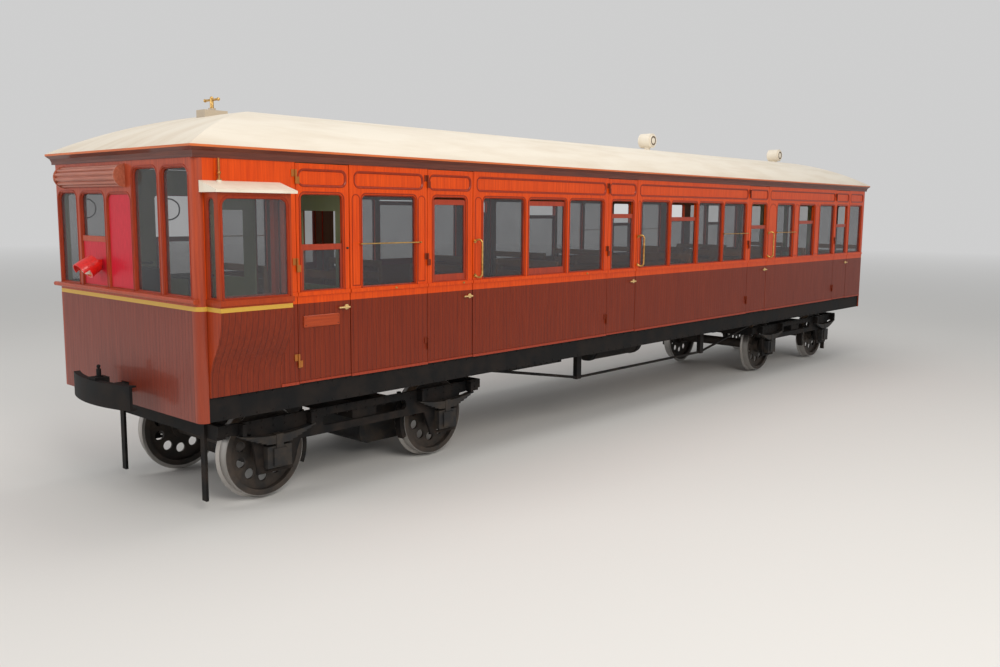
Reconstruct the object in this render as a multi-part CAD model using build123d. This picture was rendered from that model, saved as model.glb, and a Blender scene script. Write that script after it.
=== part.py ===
from build123d import *
import os
from math import asin, cos, pi, radians, sin, sqrt, tan

# Elevated railway carriage of the 1890s: a timber body with slam doors and a side lookout, on a steel
# underframe and two four-wheel bogies. Millimetres. +X is the driving end, +Y the left side and +Z up.
# X = 0 and Y = 0 are the middle of the body, and Z = 0 is the lowest point of the wheel flanges.

# Body shell
BODY_WIDTH = 2590.0
WALL = 60.0
DOOR_THICKNESS = 45.0
END_RETURN = 75.0
CORNER_RADIUS = 70.0
SOLEBAR_BOTTOM = 928.0
SOLEBAR_DEPTH = 208.0
SIDE_HEIGHT = 1932.0
SILL_HEIGHT = 816.0
LIGHT_CORNER = 45.0
WAIST_RAIL_DEPTH = 34.0
WAIST_RAIL_DROP = 4.0
WAIST_RAIL_PROUD = 14.0
FOOT_BEAD_HEIGHT = 24.0
FOOT_BEAD_PROUD = 9.0
FASCIA_BELOW_HEAD = 56.0
FASCIA_ABOVE_LIGHT = 60.0
FASCIA_HEIGHT = 148.0
FASCIA_SUNK = 9.0
FASCIA_CORNER = 55.0
FASCIA_MARGIN = 55.0

# Side panels between doorways, from the front: length, first light's distance from the panel's front
# edge, number of lights, light width, pillar width between lights, and which light is the drop light,
# counted from 0, with how far it stands lowered
SIDE_PANELS = [
    dict(length=878.0, lead=36.0, lights=1, light=622.0, pillar=60.0, drop=None, lowered=0.0),
    dict(length=965.0, lead=147.0, lights=1, light=672.0, pillar=60.0, drop=None, lowered=0.0),
    dict(length=2385.0, lead=155.0, lights=3, light=668.0, pillar=69.0, drop=1, lowered=28.0),
    dict(length=3000.0, lead=104.0, lights=4, light=665.0, pillar=50.0, drop=1, lowered=205.0),
    dict(length=2565.0, lead=310.0, lights=3, light=595.0, pillar=210.0, drop=1, lowered=265.0),
    dict(length=678.0, lead=45.0, lights=1, light=550.0, pillar=60.0, drop=None, lowered=0.0),
]
# Doorways, from the front: width, light's distance from the doorway's front edge, light width and how
# far the sliding sash stands lowered
DOORWAYS = [
    dict(width=590.0, lead=52.0, light=462.0, lowered=440.0),
    dict(width=655.0, lead=82.0, light=474.0, lowered=30.0),
    dict(width=630.0, lead=80.0, light=474.0, lowered=165.0),
    dict(width=630.0, lead=84.0, light=490.0, lowered=330.0),
    dict(width=590.0, lead=52.0, light=465.0, lowered=330.0),
]
DOOR_FRONT_GAP = 6.0
DOOR_REAR_GAP = 10.0
DOOR_FOOT_GAP = 6.0
DOOR_HEAD_GAP = 6.0
HINGE_RADIUS = 9.0
HINGE_PROUD = 14.0
HINGE_KNUCKLE = 60.0
HINGE_SEAM = 0.6
HINGE_PLATE = 8.0
HINGE_LEAF = 42.0
HINGE_ABOVE_FOOT = (150.0, 990.0)
HINGE_BELOW_HEAD = 182.0
HANDLE_HEIGHT = 650.0
HANDLE_INSET = 40.0
HANDLE_RADIUS = 8.0
SPINDLE_RADIUS = 6.0
HANDLE_REACH = 30.0
HANDLE_LEVER = 105.0
ROSE_RADIUS = 24.0
ROSE_DEPTH = 6.0

# Glazing
GLASS = 6.0
GLASS_INSET = 26.0
GLASS_LAP = 0.4
SASH_RAIL = 52.0
SASH_FOOT_RAIL = 105.0
SASH_STILE = 30.0
SASH_THICKNESS = 22.0
SASH_EASING = 1.0

# Driving-end lights, from the right side: middle, width, how far the light's head is below the head
# of the body, and what fills the light
FRONT_LIGHTS = [
    dict(middle=-1012.0, width=386.0, drop=258.0, filling="glass"),
    dict(middle=-495.0, width=478.0, drop=264.0, filling="half panel"),
    dict(middle=20.0, width=432.0, drop=278.0, filling="panel"),
    dict(middle=494.0, width=426.0, drop=60.0, filling="glass"),
    dict(middle=985.0, width=423.0, drop=66.0, filling="glass"),
]
REAR_LIGHTS = [
    dict(middle=-992.0, width=420.0, drop=264.0, filling="glass"),
    dict(middle=-496.0, width=440.0, drop=264.0, filling="glass"),
    dict(middle=0.0, width=420.0, drop=264.0, filling="glass"),
    dict(middle=496.0, width=440.0, drop=264.0, filling="glass"),
    dict(middle=992.0, width=420.0, drop=264.0, filling="glass"),
]
FRONT_CORNER = 75.0
HALF_PANEL_HEIGHT = 406.0
HALF_PANEL_BAR = 50.0
HALF_PANEL_BAR_INSET = 6.0
PANEL_THICKNESS = 18.0
PANEL_INSET = 14.0

# Cornice and roof
CORNICE_BEAD = 22.0
CORNICE_COVE = 60.0
CORNICE_COVE_BEND = 0.25
CORNICE_FASCIA = 18.0
CORNICE_BEAD_PROUD = 8.0
CORNICE_PROUD = 50.0
ROOF_RISE = 418.0
ROOF_SKIN = 35.0
ROOF_END_LENGTH = 1700.0
ROOF_END_CREST = 16.0
VENT_PLACES = (-1460.0, -5700.0)
VENT_DRUM_RADIUS = 108.0
VENT_DRUM_LENGTH = 190.0
VENT_NECK_RADIUS = 46.0
VENT_NECK_HEIGHT = 37.0
VENT_NECK_SUNK = 10.0
VENT_CAP_RADIUS = 84.0
VENT_CAP_DEPTH = 14.0
WHISTLE_PLACE = 5900.0
WHISTLE_BASE = (240.0, 150.0, 44.0)
WHISTLE_STEM_RADIUS = 18.0
WHISTLE_STEM_HEIGHT = 110.0
WHISTLE_COLLAR_RADIUS = 34.0
WHISTLE_COLLAR_HEIGHT = 22.0
WHISTLE_BAR_RADIUS = 11.0
WHISTLE_BAR_LENGTH = 230.0
WHISTLE_KNOB_RADIUS = 16.0
WHISTLE_KNOB_RISE = 6.0

# Floor and inside
FLOOR_THICKNESS = 45.0
PARTITION_PLACE = 5240.0
PARTITION_THICKNESS = 36.0
PARTITION_BELOW_EAVES = 37.0
PARTITION_DOORWAY = 620.0
PARTITION_HEADER = 100.0
PARTITION_LIGHT = 520.0
PARTITION_LIGHT_HEIGHT = 700.0
AISLE = 520.0
BENCH_DEPTH = 430.0
BENCH_HEIGHT = 430.0
BENCH_THICKNESS = 34.0
BENCH_BACK_HEIGHT = 900.0
BENCH_BACK_RAKE = 60.0
BENCH_END = 28.0
BENCH_FOOT_SET_BACK = 60.0
BENCH_SLAT = 46.0
BENCH_SLAT_GAP = 16.0
BENCH_BACK_SLAT = 74.0
BENCH_BACK_GAP = 62.0
BENCH_BACK_SLAT_THICKNESS = 22.0
BENCH_WALL_GAP = 4.0
# Benches: X of the back's foot, and which way along X the seat looks
BENCHES = [
    (5200.0, -1), (3640.0, -1), (2190.0, 1), (2150.0, -1), (640.0, -1), (-790.0, 1),
    (-830.0, -1), (-2280.0, 1), (-2990.0, -1), (-4440.0, 1), (-4480.0, -1), (-6780.0, 1),
]
CONTROLLER = (300.0, 360.0, 900.0)
CONTROLLER_PLACE = (6420.0, -520.0)
CONTROLLER_CORNER = 60.0
CONTROLLER_LID = 14.0
CONTROLLER_SPINDLE = 62.0
CONTROLLER_SPINDLE_RADIUS = 16.0
CONTROLLER_LEVER = 140.0
CONTROLLER_LEVER_RADIUS = 10.0
CONTROLLER_LEVER_DROP = 14.0
BRAKE_STAND_PLACE = (6480.0, 560.0)
BRAKE_STAND_RADIUS = 36.0
BRAKE_STAND_HEIGHT = 900.0
BRAKE_WHEEL_RADIUS = 170.0
BRAKE_WHEEL_RIM = 14.0
BRAKE_FOOT_RADIUS = 94.0
BRAKE_FOOT = 24.0
BRAKE_NUT = 20.0
BRAKE_SPOKES = 5
BRAKE_SPOKE_RADIUS = 9.8

# Lookout on the left of the cab
BAY_PROJECTION = 205.0
BAY_LENGTH = 682.0
BAY_PLACE = 6.0
BAY_WALL = 30.0
BAY_BELOW_HEAD = 272.0
BAY_WAIST = 712.0
BAY_CURVE_DROP = 360.0
BAY_UPPER_SHARE = 0.55
BAY_FOOT_PROUD = 10.0
BAY_LIGHT_MARGIN = 34.0
BAY_LIGHT_BELOW_TOP = 39.0
BAY_LIGHT_CORNER = 70.0
BAY_SLIT = 105.0
BAY_SLIT_PLACE = 95.5
BAY_SLIT_CREST = 2.0
BAY_SILL_PROUD = 16.0
BAY_SILL_DEPTH = 44.0
BAY_SILL_DROP = 8.0
BAY_ROOF_THICKNESS = 22.0
BAY_ROOF_FALL = 72.0
BAY_ROOF_EAVES = 45.0
BAY_ROOF_VERGE = 38.0
STAY_RADIUS = 11.0
STAY_PLACE = 124.0
STAY_OUT = 30.0
STAY_COLLAR_RADIUS = 22.0
STAY_COLLAR_HEIGHT = 24.0
STAY_KNOB_RADIUS = 18.7
STAY_KNOB_PLACE = 70.0

# Fittings on the driving end
SILL_PROUD = 44.0
SILL_DEPTH = 40.0
SILL_NOSE = 16.8
SILL_PAST = 10.0
HOOD_LENGTH = 1195.0
HOOD_MIDDLE = -447.0
HOOD_RADIUS = 80.0
HOOD_REED_RADIUS = 17.0
HOOD_REEDS = 6
HOOD_ABOVE_LIGHT = 140.0
HOOD_CHEEK = 14.0
HOOD_CHEEK_PROUD = 5.0
LAMP_PLACE = (-400.0, 218.0)
LAMP_TILT = 32.0
LAMP_RADIUS = 92.0
LAMP_BACK_RADIUS = 82.0
LAMP_LENGTH = 112.0
LAMP_WALL = 8.0
LAMP_VISOR = 58.0
LAMP_FOOT = 48.0
LAMP_FOOT_LAP = 30.0
LAMP_FOOT_HALF = 28.0
LAMP_MOUTH = 22.0
RING_HALF_WIDTH = 172.0
RING_HALF_HEIGHT = 86.0
RING_END_RADIUS = 58.0
RING_ROD = 6.0
RING_STEM = 4.0
RING_BELOW_HEAD = 410.0
RING_STAND_OFF = 24.0

# Hand rails at the doorways
RAIL_RADIUS = 11.0
RAIL_STAND_OFF = 75.0
RAIL_FOOT_HEIGHT = 858.0
RAIL_LENGTH = 358.0
RAIL_BEHIND_DOOR = 24.0
RAIL_LEAN = 36.0
RAIL_BEND = 40.0
RAIL_TURN = 130.0
RAIL_FLANGE_RADIUS = 20.0
RAIL_FLANGE = 9.0
RAIL_END = 8.0

# Guard bars across single lights, each by panel and light from the front, counted from 0
BARRED_LIGHTS = ((1, 0), (3, 3), (4, 0))
BAR_RADIUS = 5.5
BAR_STAND_OFF = 26.0
BAR_ABOVE_SILL = 405.0
BAR_PAST_LIGHT = 36.0
BAR_POST_RADIUS = 8.0
BAR_POST_PAST_BAR = 9.0

# Underframe
SOLEBAR_INSET = 20.0
SOLEBAR_WEB = 14.0
SOLEBAR_FLANGE = 90.0
SOLEBAR_LIP = 16.0
HEADSTOCK = 96.0
BEARER_PLACES = (-2300.0, -800.0, 800.0, 2300.0)
BEARER_WIDTH = 110.0
BEARER_WEB = 16.0
BEARER_DEPTH = 150.0
BODY_BOLSTER_WIDTH = 360.0
DRAFT_PLACE = 6250.0
DRAFT_WIDTH = 90.0
BUFFER_FACE = 320.0
BUFFER_HALF_WIDTH = 535.0
BUFFER_BOW = 95.0
BUFFER_PLATE = 26.0
BUFFER_FLANGE = 60.0
BUFFER_FLANGE_THICKNESS = 16.0
BUFFER_HEIGHT = 215.0
BUFFER_MIDDLE = 138.0
SHANK_LAP = 4.0
SHANK_WIDTH = 120.0
SHANK_HEIGHT = 84.0
SHANK_CLEARANCE = 12.0
BRACE_ROOT = 90.0
BRACE_ROOT_PLACE = 70.0
BRACE_TIP = 70.0
BRACE_TIP_PLACE = 60.0
BRACE_TIP_BEHIND = 20.0
BRACE_TIP_RUN = 50.0
BRACE_DEPTH = 60.0
COUPLING_JAW = 130.0
COUPLING_JAW_SET_BACK = 20.0
COUPLING_JAW_RISE = 18.0
COUPLING_JAW_LAP = 40.0
COUPLING_EYE_RADIUS = 27.0
COUPLING_SHANK_RADIUS = 19.0
COUPLING_COLLAR_RADIUS = 32.0
COUPLING_COLLAR = 8.0
COUPLING_GROOVE = 2.0
COUPLING_PIN_RADIUS = 21.0
COUPLING_PIN_LENGTH = 60.0
COUPLING_NECK_RADIUS = 11.0
COUPLING_NECK = 10.0
COUPLING_KNOB_RADIUS = 17.0
COUPLING_KNOB_RISE = 22.0
TRUSS_OFFSET = 1010.0
TRUSS_ROD_RADIUS = 17.0
TRUSS_END = 3150.0
TRUSS_POST = 1500.0
TRUSS_DROP = 330.0
TRUSS_POST_WIDTH = 90.0
TRUSS_POST_DEPTH = 60.0
TRUSS_ROD_DROP = 40.0
TRUSS_FOOT_LENGTH = 120.0
TRUSS_FOOT = 60.0
TRUSS_CARRIER_WIDTH = 80.0
TRUSS_CARRIER = 14.0
TRUSS_SHELF_SET_BACK = 20.0
RESERVOIR_RADIUS = 165.0
RESERVOIR_LENGTH = 1250.0
RESERVOIR_OFFSET = 430.0
RESERVOIR_GAP = 20.0
RESERVOIR_DISH = 55.0
RESERVOIR_STRAP = 50.0
RESERVOIR_STRAP_THICKNESS = 8.0
RESERVOIR_STRAP_PLACE = 496.0
RESERVOIR_HANGER = 28.0
RESISTANCE_BOX = (1100.0, 720.0, 300.0)
RESISTANCE_PLACE = 1550.0
RESISTANCE_GAP = 24.0
RESISTANCE_RIBS = 9
RESISTANCE_RIB = 24.0
RESISTANCE_RIB_PROUD = 20.0
RESISTANCE_RIB_MARGIN = 20.0
RESISTANCE_HANGER = 50.0
RESISTANCE_HANGER_INSET = 60.0

# Bogies and wheels
BOGIE_CENTRES = 9754.0
WHEELBASE = 2134.0
WHEEL_RADIUS = 419.0
FLANGE_DEPTH = 28.0
BACK_TO_BACK = 1360.0
TYRE_WIDTH = 127.0
FLANGE_WIDTH = 30.0
TYRE_THICKNESS = 62.0
TREAD_TAPER = 5.0
FLANGE_BACK = 8.0
FLANGE_TIP = 18.0
WHEEL_DISC = 26.0
HUB_RADIUS = 120.0
HUB_LENGTH = 170.0
WHEEL_HOLES = 10
WHEEL_HOLE_MARGIN = 14.0
WHEEL_HOLE_SPACING = 52.0
AXLE_RADIUS = 72.0
AXLE_SEAT_RADIUS = 78.0
AXLE_SHOULDER_RADIUS = 64.0
AXLE_SHOULDER = 20.0
JOURNAL_RADIUS = 50.0
JOURNAL_MIDDLE = 955.0
JOURNAL_CLEARANCE = 0.5
JOURNAL_END_GAP = 6.0
BOX_WIDTH = 210.0
BOX_HEIGHT = 200.0
BOX_LENGTH = 170.0
BOX_LID = 16.0
BOX_LID_WIDTH = 140.0
BOX_LID_MARGIN = 20.0
BOX_EAR = 24.0
BOX_BACK = 24.0
FRAME_PLATE = 28.0
FRAME_TOP = 800.0
FRAME_RAIL = 96.0
FRAME_MID_DEPTH = 250.0
FRAME_OVERHANG = 575.0
HORN_LEG = 84.0
HORN_FOOT = 318.0
HORN_CLEARANCE = 0.4
HORN_STAY = 26.0
HORN_SPLAY = 60.0
HORN_SHOULDER = 20.0
HORN_CROWN = 60.0
FRAME_BELLY_RUN = 90.0
FRAME_OPENING = 100.0
FRAME_OPENING_CORNER = 40.0
BOGIE_BEAM = 90.0
BOGIE_BEAM_DEPTH = 130.0
BOGIE_BOLSTER_WIDTH = 300.0
BOGIE_BOLSTER_DEPTH = 170.0
CENTRE_PLATE_RADIUS = 190.0
CENTRE_PLATE_DEPTH = 34.0
BOWL_RIM = 24.0
BOWL_SUNK = 2.0
CENTRE_GAP = 0.5
KING_PIN_RADIUS = 38.0
KING_PIN_CLEARANCE = 1.0
KING_PIN_LENGTH = 255.0
SPRING_LEAVES = 6
SPRING_LEAF = 13.0
SPRING_WIDTH = 70.0
SPRING_HALF_SPAN = 400.0
SPRING_STEP = 52.0
SPRING_CAMBER = 46.0
SPRING_SEAT = 20.0
SPRING_GAP = 6.0
SPRING_BUCKLE = 74.0
SPRING_BUCKLE_LAP = 30.0
SPRING_BUCKLE_RISE = 10.0
SPRING_BUCKLE_PROUD = 4.0
HANGER = 36.0
HANGER_PROUD = 12.0
HANGER_CLEARANCE = 0.3
SHOE_THICKNESS = 44.0
SHOE_CLEARANCE = 6.0
SHOE_ANGLE = 26.0
SHOE_WIDTH = 84.0
SHOE_HANGER = 34.0
SHOE_HANGER_DEPTH = 32.0
SHOE_PIN_RADIUS = 15.0
GUARD_BAR = 26.0
GUARD_WIDTH = 70.0
GUARD_CLEARANCE = 70.0
GUARD_OFFSET = 748.0
MOTOR_WIDTH = 880.0
MOTOR_LENGTH = 640.0
MOTOR_BELOW_AXLE = 260.0
MOTOR_ABOVE_AXLE = 170.0
MOTOR_CORNER = 110.0
MOTOR_AXLE_GAP = 9.0
MOTOR_NOSE = 240.0
MOTOR_NOSE_DROP = 120.0
MOTOR_NOSE_LAP = 40.0

# What follows from those sizes
PANEL_TOTAL = sum(panel["length"] for panel in SIDE_PANELS)
DOORWAY_TOTAL = sum(doorway["width"] for doorway in DOORWAYS)
BODY_LENGTH = 2 * END_RETURN + PANEL_TOTAL + DOORWAY_TOTAL
FRONT = BODY_LENGTH / 2
SIDE = BODY_WIDTH / 2
BODY_FOOT = SOLEBAR_BOTTOM + SOLEBAR_DEPTH
BODY_HEAD = BODY_FOOT + SIDE_HEIGHT
SILL = BODY_FOOT + SILL_HEIGHT
LIGHT_HEAD = BODY_HEAD - FASCIA_BELOW_HEAD - FASCIA_HEIGHT - FASCIA_ABOVE_LIGHT
EAVES = BODY_HEAD + CORNICE_BEAD + CORNICE_COVE + CORNICE_FASCIA
FLOOR_TOP = BODY_FOOT + FLOOR_THICKNESS
AXLE_HEIGHT = FLANGE_DEPTH + WHEEL_RADIUS
RAIL_TOP = FLANGE_DEPTH
BOWL_TOP = SOLEBAR_BOTTOM - CENTRE_PLATE_DEPTH
HINGE_LINE = SIDE + HINGE_PROUD
ROOF_HALF = SIDE + CORNICE_PROUD
ROOF_END = FRONT + CORNICE_PROUD
BAY_SLIT_MIDDLE = SIDE + BAY_SLIT_PLACE
BAY_HEAD = BODY_HEAD - BAY_BELOW_HEAD
BAY_LIGHT_HEAD = BAY_HEAD - BAY_LIGHT_BELOW_TOP
LOWEST = (Align.MIN, Align.MIN, Align.MIN)
CUT_PAST = 2.0


def block(x, y, z):
    """A box between two values on each axis."""
    size = (x[1] - x[0], y[1] - y[0], z[1] - z[0])
    return Pos(x[0], y[0], z[0]) * Box(*size, align=LOWEST)


def rod(start, end, radius):
    """A round bar from one point to another."""
    line = Vector(*end) - Vector(*start)
    plane = Plane(origin=start, z_dir=line)
    return extrude(plane * Circle(radius), line.length)


def side_plane(y):
    """The upright plane at one Y: its own x is X and its own y is Z, and it faces -Y."""
    return Plane(origin=(0, y, 0), x_dir=(1, 0, 0), z_dir=(0, -1, 0))


def end_plane(x):
    """The upright plane at one X: its own x is Y and its own y is Z, and it faces +X."""
    return Plane(origin=(x, 0, 0), x_dir=(0, 1, 0), z_dir=(1, 0, 0))


def light_shape(low, high, foot, head, corner):
    """A window's outline with its two upper corners rounded."""
    outline = Pos((low + high) / 2, (foot + head) / 2) * Rectangle(high - low, head - foot)
    upper = outline.vertices().sort_by(Axis.Y)[-2:]
    return fillet(upper, corner)


def panel_spans():
    """Front and rear X of each side panel, and of each doorway, from the front."""
    panels, doorways = [], []
    place = FRONT - END_RETURN
    for index, panel in enumerate(SIDE_PANELS):
        panels.append((place, place - panel["length"]))
        place -= panel["length"]
        if index < len(DOORWAYS):
            doorways.append((place, place - DOORWAYS[index]["width"]))
            place -= DOORWAYS[index]["width"]
    return panels, doorways


PANEL_SPANS, DOORWAY_SPANS = panel_spans()


def panel_lights(index):
    """Rear and front X of each light in one side panel."""
    panel = SIDE_PANELS[index]
    front = PANEL_SPANS[index][0] - panel["lead"]
    step = panel["light"] + panel["pillar"]
    return [(front - n * step - panel["light"], front - n * step) for n in range(panel["lights"])]


def door_light(index):
    """Rear and front X of one door's light."""
    front = DOORWAY_SPANS[index][0] - DOORWAYS[index]["lead"]
    return front - DOORWAYS[index]["light"], front


def light_hole(rear, front, depth=WALL):
    """What is cut from the left wall for one light."""
    outline = light_shape(rear, front, SILL, LIGHT_HEAD, LIGHT_CORNER)
    return extrude(side_plane(SIDE + 1) * outline, depth + 2)


def fascia_sinking(rear, front):
    """The shallow round-cornered panel sunk in the left wall above the lights."""
    foot = LIGHT_HEAD + FASCIA_ABOVE_LIGHT
    middle = Pos((rear + front) / 2, foot + FASCIA_HEIGHT / 2)
    outline = middle * RectangleRounded(front - rear, FASCIA_HEIGHT, FASCIA_CORNER)
    return extrude(side_plane(SIDE + 1) * outline, FASCIA_SUNK + 1)


def left_mouldings(has_bay):
    """The waist rails and foot beads planted on the left side's panels, one of each between doorways."""
    strips = []
    rail_head = SILL - WAIST_RAIL_DROP
    for index, (front, rear) in enumerate(PANEL_SPANS):
        if has_bay and index == 0:
            front = bay_span()[0] - BAY_SILL_PROUD / 2
        x = (rear, front)
        strips.append(block(x, (SIDE, SIDE + WAIST_RAIL_PROUD), (rail_head - WAIST_RAIL_DEPTH, rail_head)))
        strips.append(block(x, (SIDE, SIDE + FOOT_BEAD_PROUD), (BODY_FOOT, BODY_FOOT + FOOT_BEAD_HEIGHT)))
    return strips


def hinge_halves(front, reach, lift):
    """Knuckles on the hinge line at a doorway's front edge, with plates that reach one way along X."""
    halves = []
    places = [BODY_FOOT + height for height in HINGE_ABOVE_FOOT]
    places.append(BODY_HEAD - HINGE_BELOW_HEAD)
    for place in places:
        foot = place + lift
        head = foot + HINGE_KNUCKLE
        halves.append(rod((front, HINGE_LINE, foot), (front, HINGE_LINE, head), HINGE_RADIUS))
        halves.append(block(sorted((front, front + reach)), (SIDE, SIDE + HINGE_PLATE), (foot, head)))
    return halves


def side_panel(index):
    """One panel of the left wall between two doorways, with its lights and sunk fascia."""
    front, rear = PANEL_SPANS[index]
    wall = block((rear, front), (SIDE - WALL, SIDE), (BODY_FOOT, BODY_HEAD))
    for light in panel_lights(index):
        wall -= light_hole(*light)
    if index > 0:
        wall -= fascia_sinking(rear + FASCIA_MARGIN, front - FASCIA_MARGIN)
    if index < len(DOORWAYS):
        wall += hinge_halves(rear, HINGE_LEAF, HINGE_KNUCKLE + HINGE_SEAM)
    return wall


def door_handle(rear):
    """The turning handle on the door's closing edge: rose, spindle and lever."""
    x = rear + DOOR_REAR_GAP + HANDLE_INSET
    z = BODY_FOOT + HANDLE_HEIGHT
    rose = rod((x, SIDE, z), (x, SIDE + ROSE_DEPTH, z), ROSE_RADIUS)
    spindle = rod((x, SIDE, z), (x, SIDE + HANDLE_REACH, z), SPINDLE_RADIUS)
    tail = (x - 2 * HANDLE_RADIUS, SIDE + HANDLE_REACH, z)
    lever = rod(tail, (x + HANDLE_LEVER, SIDE + HANDLE_REACH, z), HANDLE_RADIUS)
    return [rose, spindle, lever]


def left_door(index):
    """One slam door of the left side: the leaf with its light, fascia, mouldings, hinges and handle."""
    front, rear = DOORWAY_SPANS[index]
    x = (rear + DOOR_REAR_GAP, front - DOOR_FRONT_GAP)
    z = (BODY_FOOT + DOOR_FOOT_GAP, BODY_HEAD - DOOR_HEAD_GAP)
    leaf = block(x, (SIDE - DOOR_THICKNESS, SIDE), z)
    rail_head = SILL - WAIST_RAIL_DROP
    leaf += block(x, (SIDE, SIDE + WAIST_RAIL_PROUD), (rail_head - WAIST_RAIL_DEPTH, rail_head))
    leaf += block(x, (SIDE, SIDE + FOOT_BEAD_PROUD), (z[0], BODY_FOOT + FOOT_BEAD_HEIGHT))
    leaf -= light_hole(*door_light(index), depth=DOOR_THICKNESS)
    leaf -= fascia_sinking(x[0] + FASCIA_MARGIN / 2, x[1] - FASCIA_MARGIN / 2)
    leaf += hinge_halves(front, -HINGE_LEAF, 0.0)
    leaf += door_handle(rear)
    return leaf


def fixed_light(rear, front):
    """A fixed pane of the left side, set in from the outer face."""
    outline = light_shape(rear + GLASS_LAP, front - GLASS_LAP, SILL + GLASS_LAP, LIGHT_HEAD - GLASS_LAP,
                          LIGHT_CORNER)
    return extrude(side_plane(SIDE - GLASS_INSET) * outline, GLASS)


def sliding_sash(rear, front, lowered, depth):
    """A wooden sash with its pane, lowered in the wall. Only what shows above the sill is modelled."""
    head = LIGHT_HEAD - GLASS_LAP - lowered
    face = SIDE - (depth - SASH_THICKNESS) / 2
    corner = SASH_EASING if lowered > LIGHT_CORNER else LIGHT_CORNER
    outline = light_shape(rear + GLASS_LAP, front - GLASS_LAP, SILL + GLASS_LAP, head, corner)
    frame = extrude(side_plane(face) * outline, SASH_THICKNESS)
    foot = SILL + GLASS_LAP + max(SASH_FOOT_RAIL - lowered, 0.0)
    x = (rear + SASH_STILE, front - SASH_STILE)
    z = (foot, head - SASH_RAIL)
    glass_face = face - (SASH_THICKNESS - GLASS) / 2
    return frame - block(x, (face - SASH_THICKNESS, face), z) + block(x, (glass_face - GLASS, glass_face), z)


def left_windows(first):
    """Fixed panes and drop lights of the left side, from one panel rearwards."""
    panes = []
    for index, panel in enumerate(SIDE_PANELS):
        for number, (rear, front) in enumerate(panel_lights(index)):
            if index < first:
                continue
            if number == panel["drop"]:
                panes.append(sliding_sash(rear, front, panel["lowered"], WALL))
            else:
                panes.append(fixed_light(rear, front))
    return panes


def mirrored(solids):
    """The same solids on the other side of the carriage."""
    return [mirror(solid, about=Plane.XZ) for solid in solids]


def end_wall(lights, corner):
    """One end of the body with rounded corner posts, seen as the driving end."""
    outer = Pos(FRONT - END_RETURN / 2, 0) * Rectangle(END_RETURN, BODY_WIDTH)
    posts = outer.vertices().sort_by(Axis.X)[-2:]
    plan = fillet(posts, CORNER_RADIUS)
    room = Pos(FRONT - WALL - END_RETURN / 2, 0) * Rectangle(END_RETURN, BODY_WIDTH - 2 * WALL)
    wall = extrude(Pos(0, 0, SOLEBAR_BOTTOM) * (plan - room), BODY_HEAD - SOLEBAR_BOTTOM)
    for light in lights:
        low = light["middle"] - light["width"] / 2
        outline = light_shape(low, low + light["width"], SILL, BODY_HEAD - light["drop"], corner)
        wall -= extrude(end_plane(FRONT - WALL - 1) * outline, WALL + 2)
    shank = Pos(0, SOLEBAR_BOTTOM + BUFFER_MIDDLE)
    hole = shank * Rectangle(SHANK_WIDTH + 2 * SHANK_CLEARANCE, SHANK_HEIGHT + 2 * SHANK_CLEARANCE)
    return wall - extrude(end_plane(FRONT - WALL - 1) * hole, WALL + 2)


def front_bar():
    """The bar across the second light of the driving end, between its panel and its pane."""
    light = FRONT_LIGHTS[1]
    half = light["width"] / 2
    y = (light["middle"] - half, light["middle"] + half)
    foot = SILL + HALF_PANEL_HEIGHT
    return block((FRONT - WALL, FRONT - HALF_PANEL_BAR_INSET), y, (foot, foot + HALF_PANEL_BAR))


def front_end():
    """The driving end: five lights and the bar across the second."""
    return end_wall(FRONT_LIGHTS, FRONT_CORNER) + front_bar()


def rear_end():
    """The inner end of the carriage."""
    return mirror(end_wall(REAR_LIGHTS, LIGHT_CORNER), about=Plane.YZ)


def end_panes(lights, corner, plane_x):
    """The panes of one end, set in from its outer face."""
    panes = []
    for light in lights:
        if light["filling"] == "panel":
            continue
        low = light["middle"] - light["width"] / 2 + GLASS_LAP
        high = light["middle"] + light["width"] / 2 - GLASS_LAP
        foot = SILL + GLASS_LAP
        if light["filling"] == "half panel":
            foot = SILL + HALF_PANEL_HEIGHT + HALF_PANEL_BAR + GLASS_LAP
        outline = light_shape(low, high, foot, BODY_HEAD - light["drop"] - GLASS_LAP, corner)
        panes.append(extrude(end_plane(plane_x) * outline, GLASS))
    return panes


def end_windows():
    """All panes of both ends and of the lookout."""
    front = end_panes(FRONT_LIGHTS, FRONT_CORNER, FRONT - GLASS_INSET - GLASS)
    rear = end_panes(REAR_LIGHTS, LIGHT_CORNER, -FRONT + GLASS_INSET)
    return front + rear + bay_panes()


def red_panels():
    """The painted panels that fill the third light and the foot of the second."""
    panels = []
    for light in FRONT_LIGHTS:
        if light["filling"] == "glass":
            continue
        low = light["middle"] - light["width"] / 2 + GLASS_LAP
        high = light["middle"] + light["width"] / 2 - GLASS_LAP
        x = (FRONT - PANEL_INSET - PANEL_THICKNESS, FRONT - PANEL_INSET)
        if light["filling"] == "half panel":
            foot, head = SILL + GLASS_LAP, SILL + HALF_PANEL_HEIGHT - GLASS_LAP
            panels.append(block(x, (low, high), (foot, head)))
        else:
            head = BODY_HEAD - light["drop"] - GLASS_LAP
            outline = light_shape(low, high, SILL + GLASS_LAP, head, FRONT_CORNER)
            panels.append(extrude(end_plane(x[0]) * outline, PANEL_THICKNESS))
    return panels


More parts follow.
